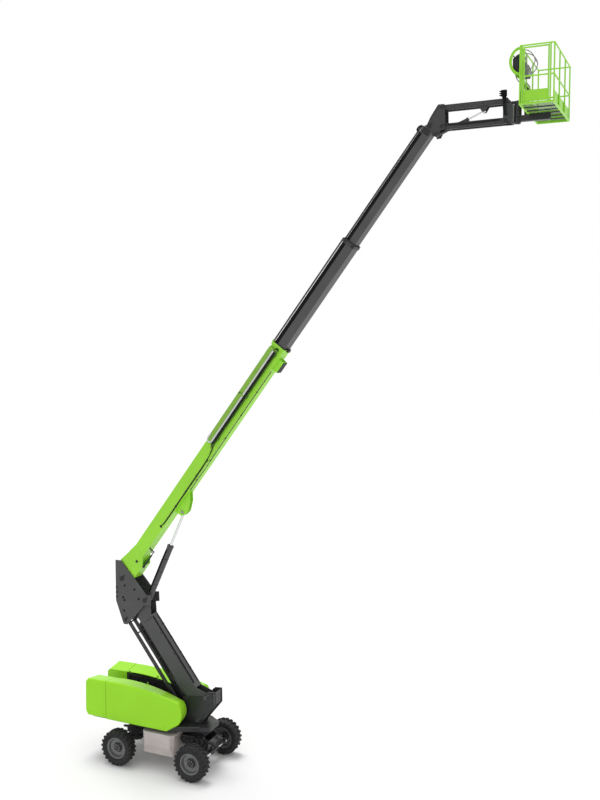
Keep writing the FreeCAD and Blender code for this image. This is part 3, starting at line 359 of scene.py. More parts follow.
# %% Edge wear
wear, start, end = node_group("edge_wear", "ShaderNodeTree", {"Radius": 0.004, "Amount": 0.5},
                              {"Mask": "Float", "Normal": "Vector"})
rounded = add(wear, "ShaderNodeBevel", {"Radius": start["Radius"]}, samples=4).outputs[0]
surface = add(wear, "ShaderNodeNewGeometry").outputs["Normal"]
dot = add(wear, "ShaderNodeVectorMath", {0: rounded, 1: surface}, operation="DOT_PRODUCT")
edge = ramp(wear, dot.outputs["Value"], 0.98, 0.80)
chips = noise(wear, Vector=own_place(wear), Scale=26.0, Detail=6.0, Roughness=0.7)
broken = math_node(wear, "MULTIPLY", edge, ramp(wear, chips, 0.42, 0.62))
feed(wear, end["Mask"], math_node(wear, "MULTIPLY", broken, start["Amount"], clamp=True))
feed(wear, end["Normal"], rounded)
print("edge_wear:", len(wear.nodes), "nodes")

# %% Relief: sprayed paint, cast iron, rubber
relief, start, end = node_group("relief", "ShaderNodeTree", {"Scale": 300.0, "Coarse": 0.5},
                                {"Height": "Float"})
place = own_place(relief)
fine = noise(relief, Vector=place, Scale=start["Scale"], Detail=3.0)
wide_scale = math_node(relief, "MULTIPLY", start["Scale"], 0.25)
lumps = add(relief, "ShaderNodeTexVoronoi", {"Vector": place, "Scale": wide_scale},
            feature="SMOOTH_F1").outputs["Distance"]
feed(relief, end["Height"], math_node(relief, "MULTIPLY_ADD", lumps, start["Coarse"], fine))
print("relief:", len(relief.nodes), "nodes")

# %% [markdown]
# Sprayed machine paint has a clear, slightly wavy coat over an even colour, so its material mixes
# a lighter and a darker tone of one colour, lets dust dull it, and shows a thin worn line on sharp
# edges. Bare metal, rubber and plastic differ only in the numbers, so one function makes them all.

# %% One function for every solid finish
DUST_COLOUR = (0.36, 0.33, 0.29)


def finish(name, colour, rough, metal=0.0, coat=0.0, tone=0.08, dust=0.4, worn=None,
           wear_amount=0.4, relief_scale=300.0, coarse=0.3, bump=0.15, depth=0.0006,
           spread=0.10, specular=0.5, radius=0.004, size=3.0, dust_height=1.2):
    """A material from a colour, a roughness and the strength of each effect."""
    material = bpy.data.materials.new(name)
    material.use_nodes = True
    tree = material.node_tree
    aged = use(tree, age, Size=size, Dust=dust, Dust_height=dust_height)
    edged = use(tree, wear, Radius=radius, Amount=wear_amount)
    skin = use(tree, relief, Scale=relief_scale, Coarse=coarse)
    dark = [c * (1.0 - tone) for c in colour]
    light = [min(1.0, c * (1.0 + tone)) for c in colour]
    base = blend(tree, ramp(tree, aged["Mottle"], 0.35, 0.65), dark, light)
    base = blend(tree, edged["Mask"], base, worn or [min(1.0, c * 1.5 + 0.03) for c in colour])
    uneven = math_node(tree, "MULTIPLY", aged["Mottle"], spread)
    dusty = math_node(tree, "MULTIPLY_ADD", aged["Dust"], 0.5, uneven)
    bumped = add(tree, "ShaderNodeBump", {"Strength": bump, "Distance": depth,
                                          "Height": skin["Height"], "Normal": edged["Normal"]})
    shader = tree.nodes["Principled BSDF"].inputs
    for socket, value in (
            ("Base Color", blend(tree, aged["Dust"], base, DUST_COLOUR)),
            ("Roughness", math_node(tree, "ADD", dusty, rough - spread / 2, clamp=True)),
            ("Normal", bumped.outputs["Normal"]), ("Metallic", metal), ("Coat Weight", coat),
            ("Coat Roughness", 0.08), ("Specular IOR Level", specular)):
        feed(tree, shader[socket], value)
    material.diffuse_color = (*colour, 1.0)
    return material


# %% Every finish: colour, roughness and what differs from plain paint
FINISHES = {
    "green_paint": ((0.31, 0.69, 0.045), 0.38, dict(
        coat=0.06, tone=0.05, dust=0.05, specular=0.22, wear_amount=0.30,
        worn=(0.55, 0.80, 0.30), size=1.2)),
    "green_cover": ((0.32, 0.72, 0.022), 0.34, dict(
        coat=0.06, tone=0.03, dust=0.04, specular=0.16, wear_amount=0.15,
        worn=(0.55, 0.85, 0.25), relief_scale=60.0, bump=0.05, size=0.8)),
    "dark_paint": ((0.057, 0.057, 0.059), 0.46, dict(
        coat=0.05, tone=0.10, dust=0.12, specular=0.4, worn=(0.22, 0.22, 0.23),
        wear_amount=0.55, size=1.5)),
    "jib_paint": ((0.040, 0.040, 0.042), 0.46, dict(
        coat=0.05, tone=0.10, dust=0.10, specular=0.35, worn=(0.15, 0.15, 0.155),
        wear_amount=0.55, size=1.5)),
    "black_paint": ((0.022, 0.022, 0.025), 0.42, dict(
        coat=0.1, tone=0.15, dust=0.12, specular=0.35, worn=(0.12, 0.12, 0.125),
        wear_amount=0.6)),
    "chassis_paint": ((0.50, 0.45, 0.43), 0.45, dict(
        coat=0.1, tone=0.06, dust=0.5, worn=(0.62, 0.60, 0.58), dust_height=1.1)),
    # painted shade: a dark copy of the boom's green for the hose tray, whose inside lies in shade
    "tray_shade_paint": ((0.085, 0.21, 0.014), 0.50, dict(dust=0.1, specular=0.25)),
    # olive paint for the floor grating; on the track cover it is painted shade, the band that the
    # track's upper run shades
    "olive_and_shade_paint": ((0.20, 0.42, 0.030), 0.50, dict(coat=0.1, dust=0.1)),
    "grey_paint": ((0.24, 0.245, 0.25), 0.42, dict(coat=0.1, dust=0.1, worn=(0.5, 0.5, 0.5))),
    "rim_paint": ((0.13, 0.133, 0.138), 0.34, dict(
        coat=0.1, tone=0.1, dust=0.12, worn=(0.45, 0.45, 0.45), wear_amount=0.8, radius=0.006)),
    "stop_red": ((0.55, 0.02, 0.015), 0.35, dict(coat=0.3, tone=0.05, dust=0.05, radius=0.001)),
    "cast_weight": ((0.05, 0.05, 0.053), 0.55, dict(
        tone=0.2, dust=0.3, worn=(0.16, 0.15, 0.14), relief_scale=90.0, coarse=1.0, bump=0.5,
        depth=0.003)),
    "cast_axle": ((0.024, 0.024, 0.028), 0.50, dict(
        tone=0.2, dust=0.15, specular=0.35, worn=(0.13, 0.12, 0.12), relief_scale=110.0,
        coarse=1.0, bump=0.45, depth=0.002)),
    "tyre": ((0.016, 0.016, 0.017), 0.66, dict(
        tone=0.25, dust=0.07, worn=(0.055, 0.053, 0.05), wear_amount=0.6, relief_scale=180.0,
        coarse=0.7, bump=0.4, depth=0.0012, radius=0.006, specular=0.28, dust_height=1.0)),
    "chrome_rod": ((0.72, 0.73, 0.75), 0.16, dict(
        metal=1.0, tone=0.03, dust=0.02, wear_amount=0.0, relief_scale=500.0, bump=0.05,
        depth=0.0003, spread=0.06)),
    "zinc": ((0.30, 0.295, 0.28), 0.40, dict(
        metal=0.75, tone=0.12, dust=0.3, wear_amount=0.2, relief_scale=400.0, bump=0.1,
        radius=0.002)),
    "pale_metal": ((0.60, 0.61, 0.61), 0.42, dict(
        metal=0.35, tone=0.06, dust=0.15, worn=(0.8, 0.8, 0.8), relief_scale=350.0, bump=0.1,
        radius=0.003)),
    "black_plastic": ((0.016, 0.016, 0.017), 0.58, dict(
        tone=0.1, dust=0.10, specular=0.3, worn=(0.06, 0.06, 0.06), relief_scale=420.0,
        coarse=0.6, bump=0.35)),
    "hose": ((0.012, 0.012, 0.013), 0.62, dict(
        specular=0.2, tone=0.15, dust=0.3, worn=(0.05, 0.05, 0.05), relief_scale=500.0,
        coarse=0.6, bump=0.5, radius=0.002)),
    "pad": ((0.024, 0.024, 0.025), 0.55, dict(
        specular=0.25, tone=0.15, dust=0.2, worn=(0.10, 0.10, 0.10), relief_scale=260.0,
        bump=0.2)),
    # near-black; on the sliding sections' strips it is partly painted shade, the shade under the
    # hose rail
    "deep_black": ((0.007, 0.007, 0.008), 0.75, dict(
        tone=0.2, dust=0.02, specular=0.10, worn=(0.02, 0.02, 0.02))),
}
look = {name: finish(name, colour, rough, **rest)
        for name, (colour, rough, rest) in FINISHES.items()}
print("finishes:", ", ".join(look))

# %% Two-tone chassis, and the finishes on the model's own pieces
NECK_START, NECK_BLACK = 0.514, (0.026, 0.026, 0.029)   # the light block ends here on both sides
PAINT_EDGE = 0.004
tree = look["chassis_paint"].node_tree
from_middle = math_node(tree, "ABSOLUTE", part_of(tree, own_place(tree), "X"))
on_neck = ramp(tree, from_middle, NECK_START, NECK_START + PAINT_EDGE)
base_colour = tree.nodes["Principled BSDF"].inputs["Base Color"]
feed(tree, base_colour, blend(tree, on_neck, base_colour.links[0].from_socket, NECK_BLACK))

own_look = dict.fromkeys(("jib_base", "jib_upper_arm", "jib_lower_arm", "jib_head"), "jib_paint")
# the hose tray's darker green is painted shade
own_look["hose_tray"] = "tray_shade_paint"
for node_name, cad in nodes.items():
    slot_name = cad.data.materials[0].name.split(".")[0] if cad.data.materials else ""
    for material_slot in cad.material_slots:
        material_slot.link = "OBJECT"
        base_name = material_slot.material.name if material_slot.material else slot_name
        material_slot.material = look[own_look.get(node_name, base_name.split(".")[0])]
print(len(look), "finishes, set on", len(nodes), "pieces of the model")

# %% [markdown]
# ## What repeats: geometry nodes
# Bolts, tread lugs, grating bars, track links and weld beads come by the hundred. Copying meshes
# in a loop would work, but a node tree keeps the one shape, its sizes and its places apart, so a
# size is changed in one box. Each tree below gets points or lines, places its shape on them and
# ends with plain geometry and a material. The result is kept as an ordinary mesh.

# %% Node tree helpers
def geometry_tree(name, **inputs):
    """A geometry node tree with named inputs, its start and its end."""
    return node_group(name, "GeometryNodeTree",
                      {"Geometry": "Geometry", **inputs, "Finish": "Material"},
                      {"Geometry": "Geometry"})


def first(tree, kind, inputs=None, **settings):
    """Add a node and return its first output."""
    return add(tree, kind, inputs, **settings).outputs[0]


def moved(tree, geometry, offset):
    """Geometry shifted by a vector."""
    return first(tree, "GeometryNodeTransform", {"Geometry": geometry, "Translation": offset})


def vector(tree, x=0.0, y=0.0, z=0.0):
    """A vector from numbers or sockets."""
    return first(tree, "ShaderNodeCombineXYZ", {0: x, 1: y, 2: z})


def named(tree, name):
    """A direction or size that each point carries."""
    return first(tree, "GeometryNodeInputNamedAttribute", {"Name": name}, data_type="FLOAT_VECTOR")


def placed(tree, points, shape, rotation, **inputs):
    """The shape on every point, turned by each point's rotation."""
    return first(tree, "GeometryNodeInstanceOnPoints",
                 {"Points": points, "Instance": shape, "Rotation": rotation, **inputs})


def end_tree(tree, end, geometry, finish_socket):
    """Every tree ends the same way: real geometry with a material."""
    real = first(tree, "GeometryNodeRealizeInstances", {"Geometry": geometry})
    feed(tree, end[0], first(tree, "GeometryNodeSetMaterial",
                             {"Geometry": real, "Material": finish_socket}))


def grown(mesh, tree, **values):
    """Run a tree on a mesh and return the plain mesh that it makes."""
    source = bpy.data.objects.new("source", mesh)
    bpy.context.scene.collection.objects.link(source)
    modifier = source.modifiers.new("build", "NODES")
    modifier.node_group = tree
    for item in tree.interface.items_tree:
        if item.in_out == "INPUT" and item.name in values:
            modifier[item.identifier] = values[item.name]
    return evaluated_mesh(source)


def points_mesh(places, **vectors):
    """A mesh of loose points, each with its own vectors."""
    mesh = bpy.data.meshes.new("places")
    mesh.from_pydata([tuple(p) for p in places], [], [])
    for label, values in vectors.items():
        attribute = mesh.attributes.new(label, "FLOAT_VECTOR", "POINT")
        attribute.data.foreach_set("vector", [c for value in values for c in value])
    return mesh


# %% [markdown]
# A hexagon bolt with its washer, as on a machine's covers and flanges. The points carry the
# direction that each bolt faces, so one tree serves every flange, whichever way it looks.

# %% Bolts
tree, start, end = geometry_tree("hex_bolts", Across="Float")
bolt = tree.nodes.new("GeometryNodeJoinGeometry")
# corners, then radius, height and place along the bolt as shares of the width across flats
for sides, *shares in ((14, 0.85, 0.16, 0.06), (6, 0.577, 0.60, 0.42)):
    radius, depth, rise = (math_node(tree, "MULTIPLY", start["Across"], share) for share in shares)
    disc = first(tree, "GeometryNodeMeshCylinder",
                 {"Vertices": sides, "Radius": radius, "Depth": depth})
    tree.links.new(moved(tree, disc, vector(tree, z=rise)), bolt.inputs[0])
turn = first(tree, "FunctionNodeAlignRotationToVector", {"Vector": named(tree, "facing")}, axis="Z")
end_tree(tree, end, placed(tree, start["Geometry"], bolt.outputs[0], turn), start["Finish"])
bolt_tree = tree


def bolts(name, places, across, body, finish_name="zinc"):
    """Bolts at (point, direction) places, all on one body."""
    points, directions = zip(*places)
    mesh = grown(points_mesh(points, facing=directions), bolt_tree, Across=across,
                 Finish=look[finish_name])
    return piece_from(mesh, name, body, finish_name)


def both_sides(y, places, line=None):
    """Bolt places on the left and right faces; (u, v) on a line, or (x, z)."""
    return [(line.at(u, v, s * y) if line else (u, s * y, v), (0, s, 0))
            for s in SIDES for u, v in places]


# %% [markdown]
# Straight bars that repeat, such as grating, grille slats and track links, share a tree that
# stretches a small block to each point's own size and turns its length to each point's own
# direction.

# %% Bars on points
tree, start, end = geometry_tree("bars")
block = first(tree, "GeometryNodeMeshCube", {"Size": (1.0, 1.0, 1.0)})
turn = first(tree, "FunctionNodeAlignRotationToVector", {"Vector": named(tree, "along")}, axis="X")
turn = first(tree, "FunctionNodeAlignRotationToVector",
             {"Rotation": turn, "Vector": named(tree, "above")}, axis="Z", pivot_axis="X")
end_tree(tree, end, placed(tree, start["Geometry"], block, turn, Scale=named(tree, "size")),
         start["Finish"])
bar_tree = tree


def bars(name, places, body, finish_name):
    """Blocks at (centre, (length, width, height), direction of length, direction of height)."""
    points, sizes, alongs, aboves = zip(*places)
    mesh = grown(points_mesh(points, size=sizes, along=alongs, above=aboves), bar_tree,
                 Finish=look[finish_name])
    return piece_from(mesh, name, body, finish_name)


# %% [markdown]
# A weld bead is a thin ripple of metal in the corner of two plates. The tree takes the seam lines,
# gives them a small round section and lets its radius swell and shrink a little along the seam.

# %% Weld beads
tree, start, end = geometry_tree("weld_beads", Bead="Float")
seam = first(tree, "GeometryNodeMeshToCurve", {"Mesh": start["Geometry"]})
seam = first(tree, "GeometryNodeResampleCurve", {"Curve": seam, "Length": 0.03}, mode="LENGTH")
ripple = math_node(tree, "MULTIPLY", noise(tree, Scale=40.0, Detail=1.0), 0.8)
section = first(tree, "GeometryNodeCurvePrimitiveCircle",
                {"Resolution": 6, "Radius": start["Bead"]})
bead = first(tree, "GeometryNodeCurveToMesh",
             {"Curve": seam, "Profile Curve": section,
              "Scale": math_node(tree, "ADD", ripple, 0.6), "Fill Caps": True})
end_tree(tree, end, bead, start["Finish"])
weld_tree = tree


def welds(name, seams, bead, body, slot):
    """Weld beads along lists of points, in the finish that the slot has."""
    points, edges = [], []
    for seam in seams:
        edges += [(len(points) + i, len(points) + i + 1) for i in range(len(seam) - 1)]
        points += [tuple(p) for p in seam]
    mesh = bpy.data.meshes.new("seams")
    mesh.from_pydata(points, edges, [])
    mesh = grown(mesh, weld_tree, Bead=bead, Finish=look[slot])
    return piece_from(mesh, name, body, slot, 60)


print("trees: bolts, bars, weld beads")

# %% [markdown]
# ## Wheels
# Rough-terrain tyres stand out by their deep lugs, which run from the middle of the tread out over
# the shoulder, left and right in turn. The carcass is a turned profile. One lug on each side is
# modelled in place, and a node tree turns that pair round the axle. The rim is a turned barrel
# with a rolled lip, a dished disc, a planetary hub and a ring of nuts.

# %% Tread tree
tree, start, end = geometry_tree("tread", Lugs="Int", Centre="Vector")
spots = first(tree, "GeometryNodeMeshLine", {"Count": start["Lugs"], "Offset": (0.0, 0.0, 0.0)})
share = math_node(tree, "DIVIDE", first(tree, "GeometryNodeInputIndex"), start["Lugs"])
turn = first(tree, "FunctionNodeEulerToRotation",
             {0: vector(tree, y=math_node(tree, "MULTIPLY", share, math.tau))})
ring = placed(tree, spots, start["Geometry"], turn)
end_tree(tree, end, moved(tree, ring, start["Centre"]), start["Finish"])
tread_tree = tree
print("tread tree:", len(tree.nodes), "nodes")

# %% One tyre
TYRE_R, TYRE_HALF, SEAT_R = 0.4993, 0.1795, 0.3
LUGS = 22
# half of the carcass: (across, radius) from the bead to the middle of the tread
CARCASS = [(-0.112, SEAT_R), (-0.136, 0.304), (-0.146, 0.318), (-0.146, 0.332), (-0.152, 0.336),
           (-0.154, 0.347), (-0.160, 0.350), (-0.170, 0.385), (-0.172, 0.410), (-0.166, 0.436),
           (-0.144, 0.456), (-0.080, 0.466), (0.0, 0.468)]
# a lug's sections: across, foot's and top's radius, shift round the tread, half width
LUG = ((0.006, 0.452, 0.493, -0.034, 0.015), (0.050, 0.452, TYRE_R, -0.014, 0.020),
       (0.105, 0.448, TYRE_R, 0.012, 0.026), (0.148, 0.436, 0.494, 0.030, 0.031),
       (0.170, 0.415, 0.470, 0.036, 0.033), (TYRE_HALF, 0.390, 0.428, 0.037, 0.029),
       (0.174, 0.372, 0.392, 0.037, 0.020))
FOOT_WIDER, TOP_NARROWER = 1.2, 0.86


def lug(side, lead):
    """One lug: sections from the tread's middle out over the shoulder, turned by lead."""
    sections = []
    for y, base, top, shift, half in LUG:
        corners = ((base, half * FOOT_WIDER), (top, half * TOP_NARROWER),
                   (top, -half * TOP_NARROWER), (base, -half * FOOT_WIDER))
        angles = [(radius, (shift + wide) / radius + lead) for radius, wide in corners]
        sections.append([Vector((radius * math.sin(t), side * y, radius * math.cos(t)))
                         for radius, t in angles])
    return sections


pair_of_lugs = Maker()
pair_of_lugs.solid(lug(1, 0.0))
pair_of_lugs.solid(lug(-1, math.pi / LUGS))
lug_mesh = bpy.data.meshes.new("lug_pair")
pair_of_lugs.bm.to_mesh(lug_mesh)
pair_of_lugs.bm.free()
print("pair of lugs:", len(lug_mesh.polygons), "faces, turned", LUGS, "times round each tyre")

# %% Rim, hub and nuts
# profiles of (distance along the axle outwards, radius)
LIP = [(0.110, 0.262), (0.121, 0.268), (0.129, 0.282), (0.130, 0.2985), (0.122, 0.2995),
       (0.112, 0.2975), (0.104, 0.290), (-0.104, 0.290), (-0.130, 0.2985), (-0.129, 0.280),
       (-0.100, 0.268), (-0.060, 0.262)]
DISC = [(0.034, 0.264), (0.044, 0.250), (0.050, 0.225), (0.045, 0.196), (0.030, 0.172),
        (0.030, 0.130), (0.018, 0.130), (0.018, 0.175), (0.032, 0.205), (0.037, 0.226),
        (0.030, 0.250), (0.022, 0.264)]
HUB = [(-0.058, 0.118), (-0.050, 0.125), (0.030, 0.125), (0.036, 0.140), (0.046, 0.140),
       (0.050, 0.124), (0.078, 0.120), (0.084, 0.104), (0.098, 0.100), (0.104, 0.088),
       (0.112, 0.084), (0.1135, 0.040), (0.118, 0.036), (0.1195, 0.0)]


def wheel(where, side):
    """Tyre and rim of one wheel, around its axle's joint."""
    body = where + "_wheel"
    centre = Vector(joints[body + "_spin"]["pos_m"])
    low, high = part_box(where + "_tyre")
    centre.y = (low.y + high.y) / 2
    out = Vector((0.0, side, 0.0))
    tyre = Maker()
    profile = CARCASS + [(-y, r) for y, r in reversed(CARCASS[:-1])]
    profile += [(0.11, SEAT_R), (-0.11, SEAT_R)]
    tyre.hoop(profile, centre, (0, 1, 0), 72)
    tyre.bm.from_mesh(grown(lug_mesh.copy(), tread_tree, Lugs=LUGS, Centre=centre,
                            Finish=look["tyre"]))
    rubber = tyre.done(where + "_tyre_rubber", body, "tyre", "tyre", 32)
    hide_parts(where + "_tyre")

    rim = Maker()
    rim.hoop(LIP, centre, out, 56)
    rim.hoop(DISC, centre, out, 56)
    painted = rim.done(where + "_rim_pressing", body, "rim_paint", "rim_paint")
    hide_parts(where + "_rim")

    hub = Maker()
    hub.turned(HUB, centre, out, 40)
    for spot, _ in ring_of(centre + out * 0.02, out, 0.131, 6, 0.3):
        hub.turned([(0.0, 0.010), (0.030, 0.009), (0.034, 0.005)], spot, out, 10)
    hub.done(where + "_hub", body, "black_paint", "cast_axle")
    bolts(where + "_nuts", ring_of(centre + out * 0.0305, out, 0.152, 10)
          + ring_of(centre + out * 0.0985, out, 0.094, 8, 0.2), 0.021, body)


for where, side in (("front_left", 1), ("front_right", -1), ("rear_left", 1), ("rear_right", -1)):
    wheel(where, side)

# %% [markdown]
# ## Boom sections
# The base section carries the hoses in a power track: a chain of links that rolls up and down its
# side while the sections slide. A track could be one long textured strip, but its links give it
# its look, so the path is drawn once and the bar tree puts a link at every step. The chain's bend
# wraps a pressed cover. Below it the hoses lie on the tray in clips.

# %% Power track
TRACK_Y = -0.2790                       # middle of the links, in front of the tray
TRACK_LOW, TRACK_TOP = 0.074, 0.226     # the chain's lower and upper run
TRACK_START, TRACK_END = 5.14, 8.22
LINK_PITCH = 0.030
bend = (TRACK_TOP - TRACK_LOW) / 2
bend_turns = [math.pi * i / 10 for i in range(1, 10)]
track_path = [(TRACK_END, TRACK_LOW), (TRACK_START, TRACK_LOW)]
track_path += [(TRACK_START - bend * math.sin(t), TRACK_LOW + bend - bend * math.cos(t))
               for t in bend_turns]
track_path += [(TRACK_START, TRACK_TOP), (TRACK_START + 0.16, TRACK_TOP)]


def along_path(path, pitch):
    """Even steps along a chain of (u, v) points: point and direction."""
    steps, rest = [], pitch / 2
    for (u0, v0), (u1, v1) in zip(path, path[1:]):
        span = math.hypot(u1 - u0, v1 - v0)
        while rest < span:
            t = rest / span
            steps.append((u0 + (u1 - u0) * t, v0 + (v1 - v0) * t, (u1 - u0) / span,
                          (v1 - v0) / span))
            rest += pitch
        rest -= span
    return steps


links = []
for u, v, du, dv in along_path(track_path, LINK_PITCH):
    ways = (boom.u * du + boom.v * dv, boom.v * du - boom.u * dv)
    links.append((boom.at(u, v, TRACK_Y), (0.0265, 0.026, 0.034), *ways))
    links.append((boom.at(u, v, TRACK_Y - 0.0145), (0.0285, 0.004, 0.042), *ways))
bars("power_track", links, "boom_base", "pale_metal")

# %% Track cover
# The cover's olive is painted shade: a darker green for the tube's side where the track's upper run
# shades it.
cover = Maker(boom)
COVER_Y, COVER_END = -0.2370, 8.26
inner_low, inner_top = TRACK_LOW + 0.021, 0.2375
middle, round_r = (inner_low + inner_top) / 2, (inner_top - inner_low) / 2
nose = [(5.185 - round_r * math.sin(t), middle + round_r * math.cos(t), COVER_Y)
        for t in (math.pi * i / 12 for i in range(13))]
cover.plate([(COVER_END, inner_top, COVER_Y)] + nose + [(COVER_END, inner_low, COVER_Y)],
            (0, -1, 0), 0.07, 0.004)
cover.bar((6.72, 0.045, -0.2975), (6.72, 0.225, -0.2975), 0.040, 0.005, "u", 0.001)
cover.bar((6.72, 0.205, -0.300), (6.72, 0.205, -0.270), 0.030, 0.040, "u", 0.001)
cover.done("track_cover", "boom_base", "green_paint", "olive_and_shade_paint")

# %% Hoses and clips in the tray
tray = []
for i, (v, y, sway) in enumerate(((0.036, -0.2735, 0.003), (0.012, -0.2745, -0.004),
                                  (-0.013, -0.2735, 0.003))):
    waves = [(5.15 + 0.31 * n, v + (sway if n % 2 else -sway), y) for n in range(10)]
    tray.append(boom.path((4.93 + 0.05 * i, v * 0.5 - 0.02, -0.215), (5.03 + 0.03 * i, v, -0.262),
                          *waves, (8.17, v, y), (8.26, v + 0.01, -0.240), (8.33, v + 0.01, -0.226)))
swept("tray_hoses", tray, 0.0095, "boom_base")
bars("tray_clips", [(boom.at(u, 0.012, -0.2850), (0.020, 0.004, 0.084), boom.u, boom.v) for u in
                    (5.30, 5.92, 6.54, 7.16, 7.78)], "boom_base", "pad")

# %% [markdown]
# Two hoses leave the tube through a grommet and run along its lower edge to the tray. One more
# runs under the tube behind the lift lug, and a short one feeds the small cylinder at the heel.

# %% Base section's pipework
BASE_SIDE = 0.200                       # the tube's side faces, from the middle plane
WIPER_U = 8.4015                        # middle of the rubber wiper at the tube's open end
lower = []
for i in range(2):
    y = -0.211 - 0.001 * i
    lower.append(boom.path(
        (2.10 + 0.03 * i, -0.075, -0.19), (2.12 + 0.03 * i, -0.078, y),
        (2.25, -0.100 - 0.020 * i, y), (3.0, -0.096 - 0.021 * i, y),
        (4.0, -0.094 - 0.021 * i, y), (4.6, -0.090 - 0.02 * i, y),
        (4.86, -0.07 + 0.02 * i, y - 0.004), (5.02, -0.02, -0.224), (5.12, 0.0, -0.255)))
lower.append(boom.path((3.50, -0.150, -0.10), (3.62, -0.165, -0.12), (3.95, -0.158, -0.13),
                       (4.35, -0.172, -0.13), (4.75, -0.156, -0.13), (5.1, -0.158, -0.13),
                       (6.0, -0.155, -0.13), (7.70, -0.155, -0.13)))
lower.append(boom.path((1.34, -0.150, -0.13), (1.30, -0.20, -0.14), (1.24, -0.25, -0.145),
                       (1.27, -0.30, -0.15)))
swept("base_hoses", lower, 0.009, "boom_base")

pipework = Maker(boom)
GROMMET = [(0, 0.034), (0.004, 0.038), (0.012, 0.038), (0.016, 0.030), (0.022, 0.022)]
pipework.turned(GROMMET, (2.11, -0.078, -BASE_SIDE - 0.0003), (0, -1, 0), 20)
for u in (2.9, 3.45, 4.02, 4.58):
    pipework.bar((u, -0.132, -0.213), (u, -0.078, -0.213), 0.040, 0.024, "u")
for u in (3.9, 4.6, 5.4, 6.2, 7.0):
    pipework.bar((u, -0.155, -0.148), (u, -0.155, -0.112), 0.035, 0.029, "u")
# the small balancing cylinder under the heel, on its two brackets
pipework.turned([(0, 0.020), (0.01, 0.023), (0.40, 0.023), (0.405, 0.026), (0.43, 0.026),
                 (0.435, 0.012), (0.56, 0.012)], (0.76, -0.318, -0.150), "u", 20)
pipework.bar((0.74, -0.345, -0.150), (0.74, -0.285, -0.150), 0.05, 0.06, "u")
pipework.bar((1.32, -0.335, -0.150), (1.32, -0.150, -0.150), 0.03, 0.035, "u")
# rubber wiper round the middle section, rest pads and a plug in the heel
for low, high in ((-0.152, -0.127), (0.227, 0.252)):
    v = (low + high) / 2
    pipework.bar((WIPER_U, v, -0.205), (WIPER_U, v, 0.205), high - low, 0.026, "v")
for y in (-0.1955, 0.1955):
    pipework.bar((WIPER_U, -0.150, y), (WIPER_U, 0.250, y), 0.021, 0.026)
pipework.bar((8.395, -0.178, -0.07), (8.395, -0.178, 0.07), 0.06, 0.07, "v")
pipework.bar((7.77, -0.302, 0.0), (8.09, -0.302, 0.0), 0.21, 0.018)
pipework.turned([(0, 0.040), (0.006, 0.040), (0.012, 0.030), (0.014, 0.0)],
                (0.74, -0.07, -BASE_SIDE - 0.0003), (0, -1, 0), 20)
pipework.done("base_pipework", "boom_base", "black_plastic", "pad", 32)

# %% Base section's bolts, pins and welds
base_bolts = both_sides(0.215, [(u, v) for u in (8.328, 8.372) for v in (-0.09, 0.05, 0.19)], boom)
HEEL_BOLTS = ((0.50, 0.02), (0.50, 0.12), (0.62, 0.20), (1.5, 0.19), (1.5, -0.09))
base_bolts += both_sides(BASE_SIDE, HEEL_BOLTS, boom)
base_bolts += [(boom.at(u, 0.18, -0.2725), (0, -1, 0)) for u in (5.3, 6.3, 7.1, 8.1)]
bolts("base_bolts", base_bolts, 0.020, "boom_base", "green_paint")

pins = Maker(boom)
for s in SIDES:
    pins.turned([(0.0, 0.036), (0.010, 0.040), (0.020, 0.040), (0.026, 0.034), (0.027, 0.0)],
                (2.84, -0.34, s * 0.0845), (0, s, 0), 28)
    pins.bar((2.80, -0.30, s * 0.0935), (2.88, -0.26, s * 0.0935), 0.030, 0.008, "v")
pins.done("lift_pin_caps", "boom_base", "black_paint", "zinc")

SEAM_Y = BASE_SIDE + 0.0005
BASE_SEAMS = (((0.98, -0.14, SEAM_Y), (1.10, 0.24, SEAM_Y), (0.80, 0.29, SEAM_Y)),
              ((8.31, -0.14, SEAM_Y), (8.31, 0.24, SEAM_Y)),
              ((2.69, -0.141, 0.0855), (3.48, -0.141, 0.0855)),
              ((7.76, -0.141, 0.1125), (8.10, -0.141, 0.1125)))
welds("base_welds", [[boom.at(u, v, s * y) for u, v, y in seam] for s in SIDES
                     for seam in BASE_SEAMS], 0.005, "boom_base", "green_paint")

# %% [markdown]
# The sliding sections are plain tubes, with pads, end collars and the hoses at the tip. A
# near-black strip runs along the upper part of both sides, thin enough to slide past the pads. It
# is partly
# painted shade: the strip is made wide enough to take in the shade under the hose rail above it.

# %% Near-black strips, partly painted shade
for name, start_u, end_u, half, v0, v1 in (("boom_mid", 6.95, 11.56, 0.175, 0.116, 0.214),
                                           ("boom_fly", 10.45, 14.78, 0.148, 0.104, 0.188)):
    strip = Maker(boom)
    v = (v0 + v1) / 2
    for y in (half + 0.0006, -half - 0.0006):
        strip.bar((start_u, v, y), (end_u, v, y), v1 - v0, 0.0018, "v", 0.0004)
    strip.done(name + "_strips", name, "black_paint", "deep_black")

# %% Pads and bolts of the middle section
pads = Maker(boom)
for s in SIDES:
    for v in (-0.075, 0.175):
        pads.bar((11.575, v, s * 0.1905), (11.645, v, s * 0.1905), 0.07, 0.008, "v")
    for low, high in ((-0.129, -0.105), (0.205, 0.229)):
        v = (low + high) / 2
        pads.bar((11.6515, v, 0), (11.6765, v, 0), 0.37, high - low)
    pads.bar((11.6515, 0.05, s * 0.170), (11.6765, 0.05, s * 0.170), 0.030, 0.30)
pads.done("mid_wiper", "boom_mid", "black_plastic", "pad")
mid_bolts = both_sides(0.189, [(u, v) for u in (11.59, 11.63) for v in (-0.03, 0.05, 0.12)], boom)
mid_bolts += [(boom.at(u, -0.1325, y), -boom.v) for u in (11.59, 11.63) for y in (-0.12, 0.0, 0.12)]
bolts("mid_bolts", mid_bolts, 0.016, "boom_mid", "pad")

